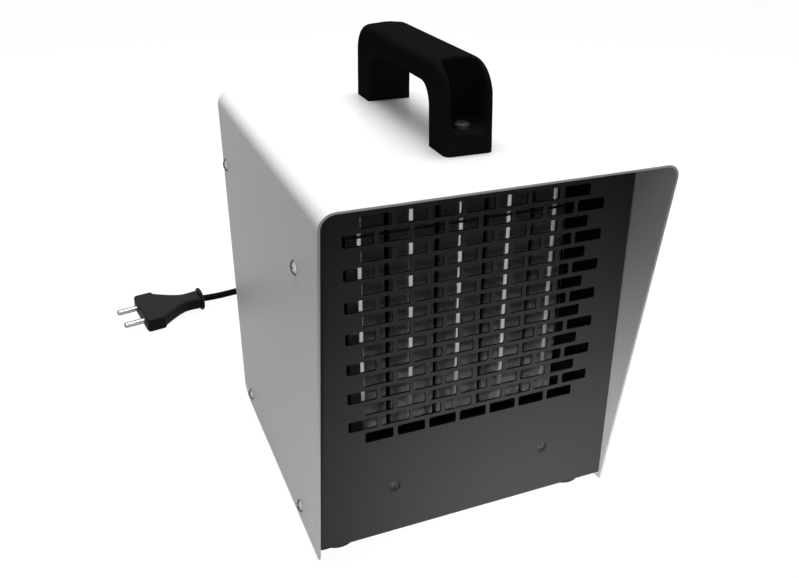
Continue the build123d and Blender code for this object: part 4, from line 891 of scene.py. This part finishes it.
PIN_PROFILE = [(0, -2), (2.4, -2), (2.4, 16.2), (2.15, 16.9), (1.6, 17.38), (1.0, 17.5), (0, 17.5)]
PIN_SPACING = 19.0


def plug_piece(name, bm, material, node):
    """Brings a form made along +X, its face at the origin, to the plug's place on the floor."""
    turn(bm, Matrix.Rotation(PLUG_HEADING, 3, "Z") @ Matrix.Rotation(PLUG_ROLL, 3, "X"), bm.verts)
    move(bm, PLUG_FACE)
    piece(name, bm, "heater", material, (node,), smooth=38.0)


def add_plug_slab(bm, half_outline, thick):
    """A flat body, the same on both sides of its length, with well rounded rims."""
    form = bmesh.new()
    points = half_outline + [(x, -y) for x, y in reversed(half_outline)]
    grown(form, [form.faces.new([form.verts.new((x, y, -thick / 2)) for x, y in points])], (0, 0, thick))
    rims = [edge for edge in form.edges if abs(edge.verts[0].co.z - edge.verts[1].co.z) < 0.1]
    round_edges(form, rims, PLUG_EDGE, 5)
    bmesh.ops.recalc_face_normals(form, faces=form.faces)
    add_form(bm, form)


def make_plug():
    bm = bmesh.new()
    add_plug_slab(bm, [(0, PLUG_HALF - 2.4), (0.7, PLUG_HALF - 0.9), (2.4, PLUG_HALF), (PLUG_HEAD - 0.6, PLUG_HALF),
                       (PLUG_HEAD, PLUG_HALF - 0.5)], PLUG_THICK)
    start = PLUG_HALF - PLUG_STEP
    sides = [(PLUG_HEAD - 5, start), (PLUG_HEAD, start)]
    for share in (step / 12 for step in range(1, 13)):
        sides.append((PLUG_HEAD + (PLUG_TAPER_END - PLUG_HEAD) * share,
                      PLUG_NECK + (start - PLUG_NECK) * (1 - share) ** PLUG_HOLLOW))
    for share in (step / 4 for step in range(1, 5)):
        sides.append((PLUG_TAPER_END + (PLUG_LENGTH - PLUG_TAPER_END) * share, PLUG_NECK + 0.9 * share ** 2))
    add_plug_slab(bm, sides, PLUG_THICK - PLUG_STEP)
    bm = moulded(bm, PLUG_SKIN, 9, -PLUG_THICK)
    put(bm, turned(bm, FLANGE_DISC, 40), "+x", (PLUG_LENGTH, 0, 0))
    plug_piece("plug_moulding", bm, plug_black, "plug_body")
    bm = bmesh.new()
    for side in (-1, 1):
        put(bm, turned(bm, PIN_PROFILE, 32), "-x", (0, side * PIN_SPACING / 2, 0))
    plug_piece("plug_pins_made", bm, pin_plate, "plug_pins")


# ================================================================ strain relief
GLAND_COLLAR = 7.5
GLAND_NECK = 5.7
GLAND_BORE = 2.9
GLAND_INSIDE = -9.2       # the neck reaches this far into the heater
GLAND_LENGTH = 35.0
BOOT = (5.9, 4.2)         # radius at the collar and at the tip
BOOT_FROM = 4.0
BOOT_RIBS = 4


def make_gland():
    """Strain relief behind the panel: a collar and a boot whose ribs get smaller towards its tip."""
    profile = [(GLAND_BORE, GLAND_INSIDE), (GLAND_NECK, GLAND_INSIDE), (GLAND_NECK, 0.02), (GLAND_COLLAR - 0.4, 0.02),
               (GLAND_COLLAR, 0.5), (GLAND_COLLAR, BOOT_FROM - 1.6), (GLAND_COLLAR - 0.5, BOOT_FROM - 0.5),
               (GLAND_COLLAR - 1.4, BOOT_FROM)]
    thick, tip = BOOT
    pitch = (GLAND_LENGTH - BOOT_FROM - 3.0) / BOOT_RIBS
    for start in (BOOT_FROM + rib * pitch for rib in range(BOOT_RIBS)):
        radius = thick - (thick - tip) * (start - BOOT_FROM) / (GLAND_LENGTH - BOOT_FROM)
        profile += [(radius, start + 0.01), (radius - 0.15, start + pitch - 2.7), (radius - 0.6, start + pitch - 2.2),
                    (tip - 0.1, start + pitch - 2.1), (tip - 0.1, start + pitch - 0.1)]
    profile += [(tip, GLAND_LENGTH - 2.9), (tip - 0.3, GLAND_LENGTH - 0.3), (tip - 0.7, GLAND_LENGTH),
                (GLAND_BORE, GLAND_LENGTH), (GLAND_BORE, GLAND_INSIDE)]
    middle = middle_of("cord_gland")
    bm = bmesh.new()
    put(bm, turned(bm, profile, 40), "+y", (middle.x, span("cord_gland")[1].y - GLAND_LENGTH, middle.z))
    piece("strain_relief", bm, "heater", lead_sheath, ("cord_gland",), smooth=38.0)


# ================================================================ mains lead
LEAD_DIAMETER = 0.006
LEAD_FLOOR_Z = 3.1
COIL_OUTER = 40.3
COIL_INNER = 31.8
COIL_TURNS = 5.125
COIL_LAYERS = 4
COIL_LAYER_PITCH = 6.6
COIL_CENTRE = (21.7, 205.0)
TURNS_PER_LAYER = COIL_TURNS / COIL_LAYERS
COIL_STEP = (COIL_OUTER - COIL_INNER) / TURNS_PER_LAYER
COIL_TOP_Z = LEAD_FLOOR_Z + (COIL_LAYERS - 1) * COIL_LAYER_PITCH
POINTS_PER_TURN = 16
BOOT_BEND_Y = 148.5       # the lead starts to fall here
FALL = Vector((62.3, 168.0, 28.6))
STRAIGHT_IN = (13.5, 6.0)       # points before the coil's start, on its tangent
STRAIGHT_OUT = (6.0, 26.0)      # and after its end
FLOOR_RUN = ((5.0, 275.5, 0.0), (-27.0, 292.5, 0.0), (-62.0, 297.5, 0.3))       # height over the lowest
PLUG_APPROACH = (14.0, -2.0)    # the last point but one: this far from the plug's end, and this much higher


def coil_point(turns):
    """Middle of the lead in the put-away coil after some turns: in and out again, a layer down at each reversal."""
    layer = min(int(turns / TURNS_PER_LAYER), COIL_LAYERS - 1)
    along = turns - layer * TURNS_PER_LAYER
    radius = COIL_INNER + COIL_STEP * along if layer % 2 else COIL_OUTER - COIL_STEP * along
    z = COIL_TOP_Z - layer * COIL_LAYER_PITCH
    for change in range(1, COIL_LAYERS):
        share = (turns - change * TURNS_PER_LAYER) / 0.5 + 0.5
        if 0 < share < 1:
            z = COIL_TOP_Z - (change - 1) * COIL_LAYER_PITCH - COIL_LAYER_PITCH * (1 - cos(pi * share)) / 2
            outwards, edge = (1, COIL_INNER) if change % 2 else (-1, COIL_OUTER)
            radius = edge + outwards * COIL_STEP * 0.25 * ((2 * share - 1) ** 2 + 1) / 2
    angle = 2 * pi * turns
    return Vector((COIL_CENTRE[0] + radius * cos(angle), COIL_CENTRE[1] + radius * sin(angle), z))


def lead_route():
    """The route's points in millimetres: gland, coil and plug, as the solids have them."""
    start, end = coil_point(0), coil_point(COIL_TURNS)
    start_way = (coil_point(0.001) - start).normalized()
    end_way = (end - coil_point(COIL_TURNS - 0.001)).normalized()
    middle = middle_of("cord_gland")
    gland = Vector((middle.x, span("cord_gland")[1].y, middle.z))
    count = round(POINTS_PER_TURN * COIL_TURNS)
    return [gland, Vector((gland.x, BOOT_BEND_Y, gland.z)), FALL, *(start - start_way * reach for reach in STRAIGHT_IN),
            *(coil_point(COIL_TURNS * step / count) for step in range(count + 1)),
            *(end + end_way * reach for reach in STRAIGHT_OUT),
            *(Vector((x, y, LEAD_FLOOR_Z + z)) for x, y, z in FLOOR_RUN),
            PLUG_ENTRY + PLUG_WAY * PLUG_APPROACH[0] + Vector((0, 0, PLUG_APPROACH[1])), PLUG_ENTRY]


def make_lead():
    route = lead_route()
    curve = bpy.data.curves.new("mains_lead", "CURVE")
    curve.dimensions = "3D"
    spline = curve.splines.new("NURBS")
    spline.points.add(len(route) - 1)
    for point, place in zip(spline.points, route):
        point.co = (*(place * MM), 1.0)
    spline.order_u = 3
    spline.use_endpoint_u = True
    curve.resolution_u = 6
    curve.bevel_depth = LEAD_DIAMETER / 2
    curve.bevel_resolution = 5
    curve.use_fill_caps = True
    lead = linked("mains_lead", curve)
    curve.materials.append(lead_sheath)
    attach(lead, "heater")
    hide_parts("mains_lead_gland_run", "mains_lead_coil", "mains_lead_plug_run")


make_plug()
make_gland()
make_lead()


# ================================================================ floor, backdrop and light
AMBIENT = 0.25
FLOOR_GLOW = 0.94
FLOOR_SHADE = 0.12
FLOOR_HALF = 6.0
FLOOR_DROP = 0.0002


def seen_or_reflected(tree):
    """1 for what the camera, a mirror or glass sees, and 0 for light that falls on the object."""
    path = placed(tree, "LightPath").outputs
    seen = math_node(tree, "MAXIMUM", path["Is Camera Ray"], path["Is Glossy Ray"])
    return math_node(tree, "MAXIMUM", seen, path["Is Transmission Ray"])


def emptied(holder):
    """The node tree of a new material or world, without the nodes it comes with."""
    holder.use_nodes = True
    holder.node_tree.nodes.clear()
    return holder.node_tree


def make_world():
    world = bpy.data.worlds.new("studio")
    bpy.context.scene.world = world
    tree = emptied(world)
    soft, shown = (placed(tree, "Background", {"Color": shade(1.0), "Strength": strength}).outputs[0]
                   for strength in (AMBIENT, 1.0))
    mix = placed(tree, "MixShader", {"Fac": seen_or_reflected(tree), 1: soft, 2: shown})
    placed(tree, "OutputWorld", {"Surface": mix.outputs[0]})


def make_floor():
    bm = bmesh.new()
    bmesh.ops.create_grid(bm, x_segments=1, y_segments=1, size=FLOOR_HALF)
    floor = linked("floor", mesh_of(bm, "floor"))
    floor.location.z = -FLOOR_DROP
    material = bpy.data.materials.new("pale floor")
    tree = emptied(material)
    matt = placed(tree, "BsdfDiffuse", {"Color": shade(FLOOR_SHADE)})
    glow = placed(tree, "Emission", {"Strength": math_node(tree, "MULTIPLY", seen_or_reflected(tree), FLOOR_GLOW)})
    total = placed(tree, "AddShader", {0: matt.outputs[0], 1: glow.outputs[0]})
    placed(tree, "OutputMaterial", {"Surface": total.outputs[0]})
    floor.data.materials.append(material)


def add_lamp(name, place, target, size, power, spread):
    data = bpy.data.lights.new(name, "AREA")
    data.size = size
    data.energy = power
    data.spread = radians(spread)
    lamp = linked(name, data)
    lamp.location = place
    lamp.rotation_euler = (Vector(target) - Vector(place)).to_track_quat("-Z", "Y").to_euler()


make_world()
make_floor()
add_lamp("overhead", (0.06, 0.06, 1.5), (0, 0, 0.1), 1.1, 20.5, 180.0)
add_lamp("front left", (-0.30, -0.85, 0.35), (0.055, -0.08, -0.01), 0.2, 0.17, 18.0)

bpy.context.scene.view_settings.view_transform = "Standard"
